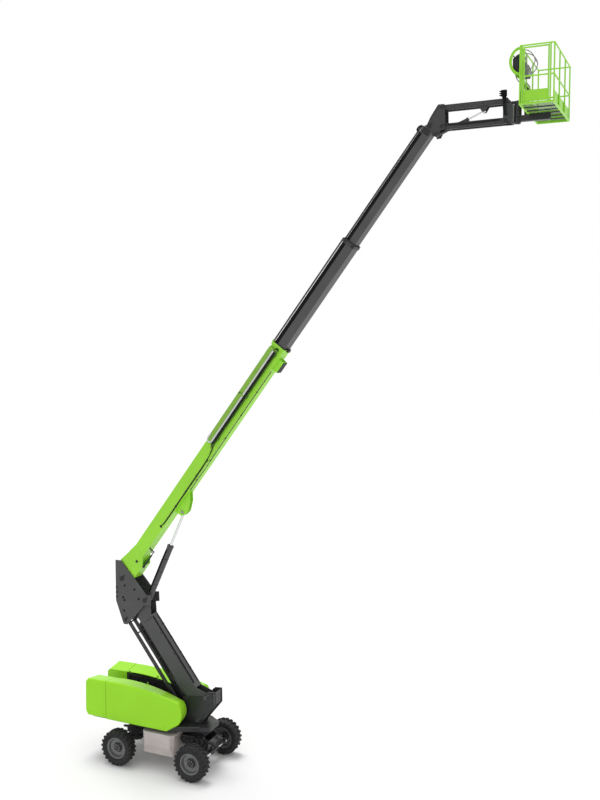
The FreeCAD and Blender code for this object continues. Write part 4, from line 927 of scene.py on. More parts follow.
# %% Tip of the fly section
TIP_LANES = (-0.09, -0.05, -0.01)       # where the hoses come out at the tip
tip = Maker(boom)
for y in (0.1495, -0.1495):
    tip.bar((14.80, 0.05, y), (14.94, 0.05, y), 0.20, 0.006, "v")
tip.bar((14.82, 0.198, 0), (14.94, 0.198, 0), 0.24, 0.012)
for y in TIP_LANES:
    tip.turned([(0, 0.016), (0.03, 0.016), (0.031, 0.012), (0.06, 0.012)], (14.76, 0.193, y),
               "v", 12)
tip.done("fly_tip", "boom_fly", "black_paint", "pad")
swept("fly_hoses", [boom.path((14.76, 0.25, y), (14.765, 0.285, y), (14.81, 0.305, y),
                              (14.88, 0.30, y), (14.93, 0.26, y), (14.935, 0.205, y))
                    for y in TIP_LANES], 0.009, "boom_fly")
fly_bolts = both_sides(0.1525, [(u, v) for u in (14.82, 14.92) for v in (-0.03, 0.05, 0.13)], boom)
bolts("fly_bolts", fly_bolts, 0.014, "boom_fly", "pad")

# %% [markdown]
# ## Riser, timing link and upright
# The lower boom is a plain box between two pins, so its character comes from what is fixed to it:
# hoses strapped along its front and rear, keeper plates that stop the pins from turning, and bolt
# heads in the kite-shaped upright plates. The rear hoses lie on a web plate. They all stay inside
# the plates' width, where nothing passes when the riser folds down between the covers.

# %% Hoses along the riser
RISER_REAR = 0.5655                     # the rear face's distance from the riser's line
RISER_SIDE = 0.1495                     # its side faces, from the middle plane
front = []
for y, v in ((-0.128, 0.113), (-0.104, 0.109), (0.112, 0.113)):
    front.append(riser.path((0.52, 0.118, y), (0.60, v - 0.01, y), (1.10, v, y + 0.004),
                            (1.60, v - 0.006, y), (2.10, v, y - 0.003), (2.55, v - 0.004, y),
                            (2.72, v + 0.004, y)))
rear = []
for i in range(6):
    for s in SIDES:
        v, y = 0.579 + 0.029 * i, s * (0.095 - 0.002 * (i % 2))
        waves = [(u, v + 0.004 * (-1) ** (i + k), y)
                 for k, u in enumerate((1.2, 1.5, 1.8, 2.1, 2.4, 2.62))]
        rear.append(riser.path((0.80 + 0.05 * i, 0.570, y), (0.92 + 0.05 * i, v, y), *waves,
                               (2.74 - 0.02 * i, v, y), (2.83 - 0.02 * i, 0.570, y)))
swept("riser_hoses", front + rear, 0.011, "riser")

# %% Straps and web plate
strap = Maker(riser)
for u in (0.95, 1.45, 1.95, 2.40):
    strap.bar((u, 0.0995, -0.147), (u, 0.0995, -0.085), 0.03, 0.005, "u", 0.001)
    for y in (-0.1455, -0.0875):
        strap.bar((u, 0.1245, y), (u, 0.0990, y), 0.03, 0.005, "u", 0.001)
    strap.bar((u, 0.1080, 0.095), (u, 0.1080, 0.130), 0.03, 0.033, "u", 0.003)
for u in (1.12, 1.66, 2.20, 2.58):
    for s in SIDES:
        for y in (s * 0.1080, s * 0.0810):
            strap.bar((u, RISER_REAR, y), (u, 0.7410, y), 0.03, 0.003, "u", 0.001)
        strap.bar((u, 0.7410, s * 0.1095), (u, 0.7410, s * 0.0795), 0.03, 0.003, "u", 0.001)
WEB = ((0.90, 0.567), (2.84, 0.567), (2.76, 0.734), (1.00, 0.734))
strap.plate([(u, v, -0.0850) for u, v in WEB], (0, 1, 0), 0.003, 0.001)
strap.done("riser_straps", "riser", "black_paint", "pad")

# %% Pins, bolts and welds of the riser and the timing link
caps = Maker(riser)
for s in SIDES:
    for u in (0.0, RISER_LENGTH):
        caps.turned([(0, 0.072), (0.006, 0.076), (0.012, 0.072)], (u, 0, s * RISER_SIDE),
                    (0, s, 0))
    caps.turned([(0.0, 0.034), (0.004, 0.038), (0.012, 0.036), (0.013, 0.0)],
                (2.0, 0.730, s * 0.0745), (0, s, 0), 24)
caps.done("riser_bosses", "riser", "dark_paint", "dark_paint")
RISER_BOLTS = ((2.72, 0.20), (2.72, 0.30), (2.72, 0.40), (1.5, 0.16), (2.2, 0.16))
bolts("riser_bolts", both_sides(0.1502, RISER_BOLTS, riser), 0.022, "riser", "pad")
RISER_SEAMS = ((0.385, 2.78, 0.1245), (0.76, 2.96, RISER_REAR))     # start, end, v
welds("riser_welds", [riser.path((start, v, s * RISER_SIDE), (end, v, s * RISER_SIDE))
                      for s in SIDES for start, end, v in RISER_SEAMS],
      0.0045, "riser", "dark_paint")

eyes = Maker(link_line)
for s in SIDES:
    for u in (0.0, RISER_LENGTH):
        eyes.turned([(0, 0.046), (0.005, 0.050), (0.010, 0.046), (0.011, 0.0262)],
                    (u, 0, s * 0.1445), (0, s, 0), 28)
        eyes.turned([(0, 0.010), (0.012, 0.007)], (u, 0.048, s * 0.145), (0, s, 0), 8)
    for u in (0.5, 1.1, 1.7, 2.3, 2.9):
        eyes.bar((u, 0.0, s * 0.1455), (u + 0.08, 0.0, s * 0.1455), 0.05, 0.006, "v", 0.002)
eyes.done("link_eyes", "timing_link", "dark_paint", "dark_paint")

# %% Upright plates
PLATE_Y = 0.2370                        # the plates' outer face
KEEPER_TURN = 0.9                       # radians from the machine's own forward direction
head = riser_head
link_head = link_line.at(RISER_LENGTH)
along = Vector((math.cos(KEEPER_TURN), 0, math.sin(KEEPER_TURN)))
marks, keeper_bolts = Maker(), []
for s in SIDES:
    for spot, r in ((head, 0.062), (boom.origin, 0.068), (link_head, 0.045)):
        marks.turned([(0, r), (0.003, r + 0.003), (0.006, r), (0.0065, 0.0)],
                     (spot.x, s * (PLATE_Y + 0.008), spot.z), (0, s, 0))
        middle = Vector((spot.x, s * (PLATE_Y + 0.003), spot.z))
        marks.bar(middle + along * (r - 0.015), middle + along * (r + 0.075), 0.045, 0.006,
                  along.cross(Vector((0, 1, 0))), 0.003)
        bolt_at = middle + along * (r + 0.053)
        keeper_bolts.append(((bolt_at.x, s * (PLATE_Y + 0.006), bolt_at.z), (0, s, 0)))
marks.done("upright_keepers", "upright", "dark_paint", "pad")
UPRIGHT_BOLTS = ((-0.67, 0.36), (-0.34, 0.28), (-0.73, 0.01), (-0.69, -0.07), (-0.70, -0.38),
                 (-0.20, 0.02), (-0.949, 0.0), (-0.949, 0.14), (-0.949, 0.28))
upright_bolts = both_sides(PLATE_Y, [(head.x + x, head.z + z) for x, z in UPRIGHT_BOLTS])
bolts("upright_bolts", upright_bolts, 0.034, "upright", "deep_black")
bolts("keeper_bolts", keeper_bolts, 0.016, "upright", "pad")

# %% Hoses over the upright
stack = []
for i in range(4):
    y = -0.205 + 0.028 * i
    stack.append([head + Vector((x, y, z)) for x, z in
                  ((-0.94, 0.10), (-0.90, 0.10 - 0.02 * i), (-0.86, -0.02), (-0.84, -0.25),
                   (-0.74, -0.48), (-0.66, -0.66))])
swept("upright_hoses", stack, 0.012, "upright")

# %% [markdown]
# ## Undercarriage and turntable
# Under the deck sit the parts that make it a machine rather than a box: valve blocks, hoses to
# the wheel motors and the slewing ring's teeth. They are kept dark, because they lie in the
# shade there. Above the deck the hood openings get their slats, and the tower its pins.

# %% Neck equipment
gear = Maker()
for s in SIDES:
    # valve blocks and covers beside both necks: start, end, across, height, size
    for x0, x1, y, z, wide, deep in ((0.56, 0.98, 0.345, 0.86, 0.12, 0.22),
                                     (1.00, 1.20, 0.335, 0.84, 0.09, 0.14),
                                     (-0.56, -1.02, 0.350, 0.89, 0.13, 0.20),
                                     (-1.04, -1.24, 0.335, 0.84, 0.09, 0.15)):
        gear.bar((x0, s * y, z), (x1, s * y, z), wide, deep)
    for x in (0.62, 0.72, 0.82, 0.92):
        for at, length in (((x, s * 0.40, 0.91), 0.05), ((-x, s * 0.41, 0.93), 0.03)):
            gear.turned([(0, 0.022), (length, 0.022), (length + 0.002, 0.015),
                         (length + 0.03, 0.015)], at, (0, s, 0), 14)
    # oscillation cylinders stand on the front axle's casing
    gear.turned([(0, 0.030), (0.02, 0.045), (0.24, 0.045), (0.25, 0.05), (0.275, 0.05),
                 (0.28, 0.026), (0.34, 0.026)], (1.06, s * 0.42, 0.60), UP, 24)
    gear.bar((1.06, s * 0.275, 0.925), (1.06, s * 0.475, 0.925), 0.07, 0.03, FORWARD)
    gear.bar((-0.54, s * 0.26, 0.978), (-1.20, s * 0.26, 0.978), 0.05, 0.032)
gear.done("valve_blocks", "chassis", "black_paint", "cast_axle")

# %% Hoses to the wheel motors
runs = []
for s in SIDES:
    for i in range(5):
        x = 0.62 + 0.07 * i
        runs.append([(x, s * 0.47, 0.91), (x + 0.03, s * 0.53, 0.90),
                     (x + 0.10, s * 0.54, 0.84 + 0.012 * i),
                     (x + 0.18, s * (0.50 - 0.01 * i), 0.76), (1.02 + 0.015 * i, s * 0.42, 0.70),
                     (1.13, s * (0.40 + 0.02 * i), 0.60)])
    for i in range(4):
        x = -0.62 - 0.09 * i
        runs.append([(x, s * 0.46, 0.93), (x - 0.02, s * 0.54, 0.92),
                     (x - 0.08, s * 0.57, 0.84 + 0.01 * i), (-0.98 - 0.02 * i, s * 0.52, 0.72),
                     (-1.10, s * (0.46 + 0.025 * i), 0.585)])
    for i in range(3):
        y, z = s * (0.20 + 0.03 * i), 0.006 * i
        runs.append([(0.50, y, 1.03), (0.56, y, 1.00), (0.80, y, 0.99 + z), (1.08, y, 0.975),
                     (1.17, y, 0.965)])
        runs.append([(-0.50, y, 1.03), (-0.58, y, 1.00), (-0.86, y, 1.00 + z), (-1.10, y, 0.975),
                     (-1.22, y, 0.965)])
swept("chassis_hoses", runs, 0.012, "chassis")

# %% Slewing ring's teeth and the chassis bolts
TEETH, TEETH_R, TEETH_Z = 72, 0.527, 1.085
bars("ring_teeth", [(spot, (0.018, 0.020, 0.045), spot - UP * spot.z, UP)
                    for spot, _ in ring_of((0, 0, TEETH_Z), UP, TEETH_R, TEETH)],
     "chassis", "cast_axle")
chassis_bolts = both_sides(0.2805, [(x * end, z) for end in (1, -1) for x in (0.62, 0.92, 1.22)
                                    for z in (0.70, 0.92)])
chassis_bolts += [((x, s * 0.16 + d, 0.6605), -UP) for s in SIDES
                  for x in (1.11, 1.29, -1.11, -1.29) for d in (-0.02, 0.02)]
chassis_bolts += [((s * 0.5105, y, z), (s, 0, 0)) for s in SIDES for y in (-0.62, 0.62)
                  for z in (0.50, 0.97)]
bolts("chassis_bolts", chassis_bolts, 0.024, "chassis")

# %% Ribs and caps of the axles
AXLE_X, CASING_FACE = 1.2, 0.1196       # from the machine's middle, and from the axle
CASING_RIM = [(0, 0.105), (0.012, 0.115), (0.03, 0.112)]
axles = Maker()
for end in (1, -1):
    x, out = AXLE_X * end, CASING_FACE * end
    axles.turned(CASING_RIM + [(0.04, 0.06), (0.055, 0.05), (0.056, 0.0)], (x + out, 0, 0.48),
                 (end, 0, 0))
    axles.turned(CASING_RIM + [(0.04, 0.055), (0.10, 0.050), (0.101, 0.0)], (x - out, 0, 0.48),
                 (-end, 0, 0))
    for s in SIDES:
        axles.turned([(0, 0.078), (0.06, 0.078), (0.064, 0.086), (0.075, 0.086)],
                     (x, s * 0.34, 0.5), (0, s, 0), 28)
        for y in (0.24, 0.30, 0.44, 0.50):
            axles.bar((x - 0.078, s * y, 0.5), (x + 0.078, s * y, 0.5), 0.012, 0.165, bevel=0.003)
axles.done("axle_ribs", "chassis", "cast_axle", "cast_axle")

# %% Deck edge, steps and tower
deck = Maker()
ram_foot = pin("riser_cylinder_swing")
for s in SIDES:
    deck.bar((0.30, s * 0.697, 1.262), (1.13, s * 0.400, 1.262), 0.02, 0.014)
    for spot, r, y in ((riser.origin, 0.066, 0.205), (ram_foot, 0.060, 0.1902)):
        x, z = spot.x, spot.z
        deck.turned([(0, r), (0.006, r + 0.003), (0.012, r), (0.013, 0.0)], (x, s * y, z),
                    (0, s, 0))
        deck.bar((x + 0.03, s * 0.196, z + 0.03), (x + 0.12, s * 0.196, z + 0.12), 0.045, 0.010,
                 (1, 0, -1), 0.003)
    deck.bar((1.505, s * 0.198, 1.90), (1.505, s * 0.198, 2.22), 0.05, 0.014, FORWARD)
    deck.bar((1.30, s * 0.196, 2.226), (1.54, s * 0.196, 2.252), 0.012, 0.03)
deck.bar((1.5135, -0.13, 2.02), (1.5135, 0.13, 2.02), 0.24, 0.006, UP)
deck.done("tower_trim", "turntable", "dark_paint", "dark_paint")
tower_bolts = both_sides(0.1903, ((1.44, 1.93), (1.44, 2.10), (1.44, 2.20), (1.08, 1.36),
                                  (0.92, 1.32), (0.78, 1.32), (0.62, 1.32), (0.50, 1.36),
                                  (1.32, 1.86), (1.15, 1.55)))
tower_bolts += [((1.5165, s * y, z), FORWARD) for s in SIDES for y in (0.04, 0.11)
                for z in (1.93, 2.11)]
bolts("tower_bolts", tower_bolts, 0.024, "turntable", "pad")

# %% Hoses at the tower
loops = [[(x, -0.12 + 0.03 * i, z) for x, z in
          ((1.49, 1.93), (1.44, 1.86), (1.36, 1.72), (1.24, 1.56), (1.12, 1.40), (1.06, 1.262))]
         for i in range(4)]
loops += [[(x, s * (0.215 + 0.022 * i), z) for x, z in
           ((0.52, 1.27), (0.50, 1.45), (0.30, 1.56 + 0.02 * i), (0.0, 1.50), (-0.4, 1.52),
            (-0.9, 1.50), (-1.3, 1.53), (-1.6, 1.50))] for s in SIDES for i in range(3)]
swept("tower_hoses", loops, 0.011, "turntable")

# %% [markdown]
# The inner walls have a long grille opening. Horizontal slats with a few posts fill it, dark
# enough to hide the engine behind, yet open enough to show that there is depth.

# %% Grilles
SLAT_START, SLAT_PITCH, SLAT_Y = -1.638, 0.024, 0.2605
POST_Y, SILL = 0.2540, 1.70
WINDOW_LOW, WINDOW_HIGH = 1.722, 2.11   # heights of the lowest slat and of the opening's top


def window_top(x):
    """Upper edge of the grille opening at x."""
    edge = ((-1.64, 2.12), (-1.10, 2.108), (-0.50, 2.064), (0.0, 1.975), (0.30, 1.84))
    for (x0, z0), (x1, z1) in zip(edge, edge[1:]):
        if x <= x1:
            return z0 + (z1 - z0) * (x - x0) / (x1 - x0)


slats = []
for z in steps(WINDOW_LOW, WINDOW_HIGH, SLAT_PITCH):
    reach = max(x / 100 for x in range(-163, 31) if window_top(x / 100) > z + 0.006)
    for s in SIDES:
        slats.append((((reach + SLAT_START) / 2, s * SLAT_Y, z),
                      (reach - SLAT_START, 0.012, 0.005), FORWARD, (0, 0.5 * s, 0.86)))
for x in (-1.35, -1.06, -0.78, -0.22, 0.06):
    top = window_top(x) - 0.004
    for s in SIDES:
        slats.append(((x, s * POST_Y, (top + SILL) / 2), (top - SILL, 0.010, 0.022), UP,
                      FORWARD))
bars("grille_slats", slats, "turntable", "pad")

# %% Screens behind the slats
SCREEN = ((-1.60, 1.705), (0.27, 1.705), (0.27, 1.84), (0.0, 1.96), (-0.5, 2.05), (-1.1, 2.095),
          (-1.60, 2.105))
screen = Maker()
for s in SIDES:
    screen.plate([(x, s * 0.290, z) for x, z in SCREEN], (0, s, 0), 0.004, 0.001)
screen.done("grille_screens", "turntable", "black_plastic", "pad")

# %% Hood latches and seals, reflectors and bolts of the cowls
for side, s in (("left", 1), ("right", -1)):
    latches = Maker()
    for x, z in ((-1.45, 1.28), (-0.62, 1.26), (0.22, 1.26)):
        latches.bar((x - 0.05, s * 0.8005, z), (x + 0.05, s * 0.8005, z), 0.045, 0.006, UP, 0.002)
        latches.turned([(0, 0.014), (0.004, 0.014), (0.006, 0.010), (0.007, 0.0)],
                       (x + 0.02, s * 0.803, z), (0, s, 0), 16)
    latches.done(side + "_hood_latches", side + "_hood", "green_cover", "green_cover")
    rub = Maker()
    rub.bar((-1.7055, s * 0.30, 1.20), (-1.7055, s * 0.76, 1.20), 0.012, 0.006, UP, 0.001)
    rub.done(side + "_hood_seal", side + "_hood", "black_plastic", "pad")

reflectors = Maker()
for s in SIDES:
    reflectors.bar((-2.4060, s * 0.50, 1.45), (-2.4060, s * 0.66, 1.45), 0.09, 0.010, UP, 0.003)
    reflectors.bar((-2.4090, s * 0.34, 1.27), (-2.4090, s * 0.72, 1.27), 0.05, 0.004, UP, 0.001)
reflectors.done("tail_reflectors", "turntable", "black_plastic", "pad")
bolts("cowl_bolts", both_sides(0.8003, [(x, z) for x in (-2.33, -1.80) for z in (1.28, 2.12)]),
      0.018, "turntable", "green_cover")

# %% [markdown]
# ## Cylinders
# A hydraulic cylinder is more than a tube and a rod. It has a screwed gland with spanner flats,
# ports with unions, hard pipes that bring oil to the rod end, and clamps that hold them. One
# function dresses all three, so the big lift cylinder and the small jib cylinder look related.

# %% Cylinder fittings
PIPE_TURNS = (1.05, 1.35)               # radians from a cylinder's upper side to its right
CLAMP_TURN = 1.2


def band(radius, *steps):
    """A hoop's outline: (distance along, height over the tube) steps."""
    return [(along, radius + rise) for along, rise in steps]


def dress(name, radius, start, end, pipe=0.0075):
    """Fittings, pipes and clamps of a cylinder whose tube runs from start to end."""
    body, line = name + "_cylinder_barrel", ram(name)
    parts = Maker(line)
    parts.hoop(band(radius, (0, 0.002), (0.004, 0.007), (0.020, 0.007), (0.024, 0.002)),
               (end - 0.0445, 0, 0), "u")
    for i in range(6):
        t = math.tau * i / 6 + 0.2
        flat = [(end - 0.018, (radius + rise) * math.cos(t), (radius + rise) * math.sin(t))
                for rise in (0.001, 0.0065)]
        parts.bar(*flat, 0.018, 0.024, "u", 0.001)
    for u in (start + 0.06, end - 0.11):
        parts.bar((u, 0, 0.006 - radius), (u, 0, -radius - 0.012), 0.046, 0.046, "u")
        parts.turned([(0, 0.013), (0.014, 0.013), (0.016, 0.010)], (u, 0, -radius - 0.010),
                     (0, -1, 0), 6)
    parts.hoop(band(radius, (0, -0.002), (0.002, 0.003), (0.010, 0.003), (0.012, -0.002)),
               (start + 0.015, 0, 0), "u")
    parts.done(name + "_fittings", body, "dark_paint", "dark_paint")

    pipes = []
    for t in PIPE_TURNS:
        v, y = (radius + 0.013) * math.cos(t), -(radius + 0.013) * math.sin(t)
        pipes.append(line.path(
            (start + 0.06, 0, -radius - 0.012), (start + 0.09, v * 0.4, y * 1.03),
            (start + 0.16, v, y), ((start + end) / 2, v, y), (end - 0.20, v, y),
            (end - 0.14, v * 0.4, y * 1.03), (end - 0.11, 0, -radius - 0.012)))
    swept(name + "_pipes", pipes, pipe, body, finish_name="deep_black")

    clamps = Maker(line)
    count = 3 if end - start > 1.0 else 2
    cos, sin = math.cos(CLAMP_TURN), math.sin(CLAMP_TURN)
    for i in range(count):
        u = start + (end - start) * (i + 1) / (count + 1)
        clamps.hoop(band(radius, (0, -0.001), (0.001, 0.0022), (0.019, 0.0022), (0.020, -0.001)),
                    (u, 0, 0), "u")
        block = [(u + 0.01, r * cos, -r * sin) for r in (radius, radius + 0.023)]
        clamps.bar(*block, 0.045, 0.018, line.v * sin + line.y * cos, 0.003)
    clamps.done(name + "_clamps", body, "black_plastic", "pad")


dress("lift", 0.092, 0.085, 1.78, 0.0105)
dress("riser", 0.052, 0.065, 1.45)
dress("jib", 0.042, 0.045, 0.84)

# %% Rod wiper of the lift cylinder
wiper = Maker(ram("lift"))
wiper.hoop([(0, 0.0435), (0.0, 0.058), (0.008, 0.056), (0.012, 0.050), (0.012, 0.0435)],
           (1.7802, 0, 0), "u")
wiper.done("lift_wiper", "lift_cylinder_barrel", "black_plastic", "pad")

# %% [markdown]
# ## Jib
# The jib is a parallelogram of two welded arms. Its look is all edges: six pins with keeper
# plates, stiffening ribs, and hoses that cross from the boom's tip to the platform.

# %% Pins with keeper plates
FOOT_FACE, ARM_FACE, HEAD_FACE = 0.168, 0.115, 0.131       # outer faces, from the middle plane


def kept_pin(maker, spot, radius, face, up, reach, bolt_at):
    """A pin's caps and keeper plates, which point up (1) or down (-1), and their bolts' places."""
    near = Line(spot, FORWARD)
    for s in SIDES:
        maker.turned([(0, radius), (0.004, radius + 0.003), (0.010, radius), (0.011, 0.0)],
                     near.at(0, 0, s * (face - 0.0005)), (0, s, 0), 28)
        maker.bar(near.at(0.02, up * 0.02, s * (face + 0.004)),
                  near.at(reach, up * 0.05, s * (face + 0.004)), 0.034, 0.008,
                  (-0.5 * up, 0, 0.87), 0.002)
    return [(near.at(bolt_at, up * 0.043, s * (face + 0.008)), (0, s, 0)) for s in SIDES]


# %% Brackets of the jib's foot
hinge = pin("jib_level")
foot = Maker(Line(hinge, FORWARD))
foot_bolts = []
for spot, radius in ((hinge, 0.046), (jib.origin, 0.042), (lower_jib.origin, 0.042),
                     (ram("jib").origin, 0.038)):
    foot_bolts += kept_pin(foot, spot, radius, FOOT_FACE, 1, 0.075, 0.062)
for s in SIDES:
    y = s * (FOOT_FACE + 0.004)
    foot.bar((-0.038, 0.050, y), (0.042, 0.205, y), 0.018, 0.009, bevel=0.002)
    foot.bar((0.052, 0.225, y), (0.222, 0.465, y), 0.018, 0.009, bevel=0.002)
foot.done("jib_base_caps", "jib_base", "black_paint", "pad")
bolts("jib_base_bolts", foot_bolts, 0.014, "jib_base", "pad")

# %% Ribs, pins and bolts of the arms
for body, line, depth in (("jib_upper_arm", jib, 0.125), ("jib_lower_arm", lower_jib, 0.140)):
    arm, edge = Maker(line), depth / 2
    for s in SIDES:
        for u in (0.0, 1.51):
            arm.turned([(0, 0.040), (0.003, 0.043), (0.008, 0.040), (0.009, 0.0255)],
                       (u, 0, s * (ARM_FACE - 0.0005)), (0, s, 0), 28)
        y = s * (ARM_FACE + 0.003)
        for v in (edge - 0.006, 0.006 - edge):
            arm.bar((0.09, v, y), (1.42, v, y), 0.012, 0.007, "v", 0.001)
        y = s * (ARM_FACE + 0.0015)
        for u in (0.30, 0.62, 1.28):
            arm.bar((u, 0.012 - edge, y), (u, edge - 0.012, y), 0.010, 0.004, "u", 0.001)
    arm.done(body + "_ribs", body, "black_paint", "black_paint")
    bolts(body + "_bolts", both_sides(ARM_FACE, [(u, 0) for u in (0.46, 0.50, 0.94, 0.98)], line),
          0.015, body, "pad")

# %% Hoses along the arms
carry = Maker(jib)
for u in (0.16, 0.55, 0.95, 1.34):
    carry.bar((u, 0.0585, -0.0855), (u, 0.0585, 0.0855), 0.035, 0.010, "u", 0.002)
carry.done("jib_hose_bars", "jib_upper_arm", "black_paint", "black_paint")
runs = []
for i in range(3):
    y = 0.030 * i - 0.03
    waves = [(0.25 + 0.2 * k, 0.0735 + 0.0015 * (-1) ** (i + k), y) for k in range(6)]
    runs.append(jib.path((0.10, 0.070, y), *waves, (1.40, 0.068, y)))
swept("jib_hoses", runs, 0.009, "jib_upper_arm")
runs = [lower_jib.path((0.12, 0.045 - drop, -0.1215), (0.5, 0.030 - drop, -0.1265),
                       (1.0, 0.034 - drop, -0.1265), (1.38, 0.045 - drop, -0.1215))
        for drop in (0.0, 0.022)]
swept("lower_arm_hoses", runs, 0.008, "jib_lower_arm")

# %% Jib head
up = pin("head_level")
down = up + Vector((0, 0, -0.445))
head = Maker()
head_bolts = kept_pin(head, up, 0.042, HEAD_FACE, -1, 0.08, 0.066)
head_bolts += kept_pin(head, down, 0.042, HEAD_FACE, -1, 0.08, 0.066)
head.turned([(0, 0.052), (0.004, 0.056), (0.010, 0.056), (0.014, 0.050), (0.0145, 0.0)],
            (turn_x, 0, up.z - 0.012), UP, 28)
head.turned([(0, 0.052), (0.004, 0.056), (0.006, 0.056)], (turn_x, 0, down.z - 0.072), -UP, 28)
head.done("jib_head_caps", "jib_head", "black_paint", "pad")
bolts("jib_head_bolts", head_bolts + ring_of((turn_x, 0, up.z - 0.0097), UP, 0.060, 6), 0.013,
      "jib_head", "pad")

# %% Valve block beside the head
beside = Line(up + Vector((-0.033, 0, 0)), FORWARD)
valve = Maker(beside)
valve.bar((0, 0.050, -0.1355), (0, 0.235, -0.1355), 0.10, 0.007, "u", 0.002)
valve.bar((0, 0.095, -0.1705), (0, 0.240, -0.1705), 0.13, 0.062, "u", 0.004)
for z in (0.125, 0.170, 0.215):
    valve.turned([(0, 0.016), (0.030, 0.016), (0.032, 0.011), (0.042, 0.011), (0.043, 0.0)],
                 (-0.064, z, -0.172), (-1, 0, 0), 12)
valve.done("head_valve", "jib_head", "black_paint", "deep_black")
runs = [beside.path((x - 0.03, 0.100, -0.165), (x - 0.03, 0.04, -0.160), (x - 0.02, -0.06, -0.152),
                    (x - 0.02, -0.22, -0.150), (x + 0.01, -0.33, -0.141))
        for x in (0.0, 0.03, 0.06)]
swept("head_hoses", runs, 0.009, "jib_head")

# %% [markdown]
# ## Platform
# The basket is seen from below, so its floor must be a true grating that lets the light through:
# bearing bars and cross rods on the bar tree, in a channel frame over dark bearers. The green
# kick boards, tubes and gate come from the model; latches, welds, hoops and switches are added.
# Places are (forward, up, across) from the rear edge of the floor's top.

# %% See-through floor
low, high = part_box("platform_floor")
X0, Y0, Y1, Z1 = low.x, low.y, high.y, high.z
LENGTH, THICK = high.x - low.x, high.z - low.z
basket = Line(Vector((X0, 0, Z1)), FORWARD)
edges = Maker(basket)
for x in (0.02, LENGTH - 0.02):
    edges.bar((x, -THICK / 2, Y0), (x, -THICK / 2, Y1), 0.04, THICK - 0.0004, "u", 0.003)
for y in (Y0 + 0.02, Y1 - 0.02):
    edges.bar((0.038, -THICK / 2, y), (LENGTH - 0.038, -THICK / 2, y), 0.04, THICK - 0.0008,
              bevel=0.003)
floor_frame = edges.done("floor_frame", "platform", "green_paint", "green_paint")

# %% Grating and bearers
grating = [(basket.at(x, -0.014), (Y1 - Y0 - 0.078, 0.005, 0.024), (0, 1, 0), UP)
           for x in steps(0.075, LENGTH - 0.055, 0.038)]
grating += [(basket.at(LENGTH / 2, -0.006, y), (LENGTH - 0.078, 0.008, 0.007), FORWARD, UP)
            for y in steps(Y0 + 0.09, Y1 - 0.06, 0.075)]
floor_grid = bars("floor_grating", grating, "platform", "olive_and_shade_paint")
bearers = Maker(basket)
for y, wide in ((-0.70, 0.05), (-0.35, 0.05), (0.35, 0.05), (0.70, 0.05), (0.0, 0.12)):
    bearers.bar((0.039, -THICK / 2 - 0.010, y), (LENGTH - 0.039, -THICK / 2 - 0.010, y), wide,
                THICK - 0.022, bevel=0.002)
floor_bearers = bearers.done("floor_bearers", "platform", "black_paint", "black_paint")
for piece in (floor_frame, floor_grid, floor_bearers):
    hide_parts("platform_floor")

# %% Rail fittings
TUBE_R, WELD_R = 0.017, 0.0172
POSTS = (-0.38, 0.38)
feet, seams, foot_bolts = Maker(basket), [], []
for x in (TUBE_R, LENGTH - TUBE_R):
    for y in (Y0 + TUBE_R, *POSTS, Y1 - TUBE_R):
        feet.bar((x, 0.0005, y), (x, 0.0085, y), 0.065 if y in POSTS else 0.034, 0.034,
                 bevel=0.002)
        for z in (0.543, 1.206) if y in POSTS else (1.206,):
            seams.append([basket.at(x + WELD_R * math.cos(t), z, y + WELD_R * math.sin(t))
                          for t in (math.tau * i / 8 for i in range(9))])
    foot_bolts += [(basket.at(x, 0.0088, y + d), UP) for y in POSTS for d in (-0.0255, 0.0255)]
feet.done("rail_feet", "platform", "green_paint", "green_paint")
welds("rail_welds", seams, 0.003, "platform", "green_paint")
bolts("rail_bolts", foot_bolts, 0.011, "platform")

# %% Gate latch
gate_low, gate_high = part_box("platform_gate")
latch = Maker(Line(Vector((gate_low.x, (gate_low.y + gate_high.y) / 2, Z1)), FORWARD))
latch.bar((0.050, 0.90, 0.0205), (0.050, 0.98, 0.0205), 0.05, 0.007, "u", 0.002)
latch.bar((0.034, 0.94, 0.016), (0.034, 0.94, 0.028), 0.018, 0.018)
latch.turned([(0, 0.008), (0.05, 0.008), (0.055, 0.012), (0.065, 0.012), (0.066, 0.0)],
             (0.050, 0.94, 0.027), UP, 14)
latch.done("gate_latch", "platform_gate", "black_plastic", "zinc")

# %% [markdown]
# The control box hangs on the rear rail. Its guard is a pair of green crescents that keep the box
# from knocks; on the inside two grey hoops stop a hand from being trapped between rail and box.
# Levers, switches and the emergency button stand on the sloped top.

# %% Guard of the control box
box_low, box_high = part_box("control_console")
guard_low, guard_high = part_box("console_guard")
reach, half = X0 - guard_low.x, (guard_high.z - guard_low.z) / 2
ARC_STEPS, HALF_SHEET = 18, 0.003


def arc(depth, height, i):
    """A point on the guard's curve: i from 0 at the foot to ARC_STEPS at the top rail."""
    t = math.pi * (i / ARC_STEPS - 0.5)
    return X0 - 0.001 - depth * math.cos(t), guard_low.z + half + height * math.sin(t)


crescents = Maker()
for y in (box_low.y - 0.025, box_high.y + 0.025):
    rings = []
    for i in range(ARC_STEPS + 1):
        outer, inner = arc(reach * 0.985, half, i), arc(reach * 0.74, half * 0.80, i)
        rings.append([Vector((x, y + side, z)) for (x, z), side in
                      ((outer, -HALF_SHEET), (outer, HALF_SHEET), (inner, HALF_SHEET),
                       (inner, -HALF_SHEET))])
    crescents.solid(rings)
crescents.done("guard_crescents", "platform", "green_paint", "green_paint")

# %% Levers, switches and stop button
middle = (box_low.y + box_high.y) / 2
top = Line(Vector((X0 - 0.165, middle, Z1 + 0.99)), (0.105, 0, 0.08))


def span(x, z, inset):
    """Both ends of a bar across the control box."""
    return (x, z, box_low.y + inset), (x, z, box_high.y - inset)


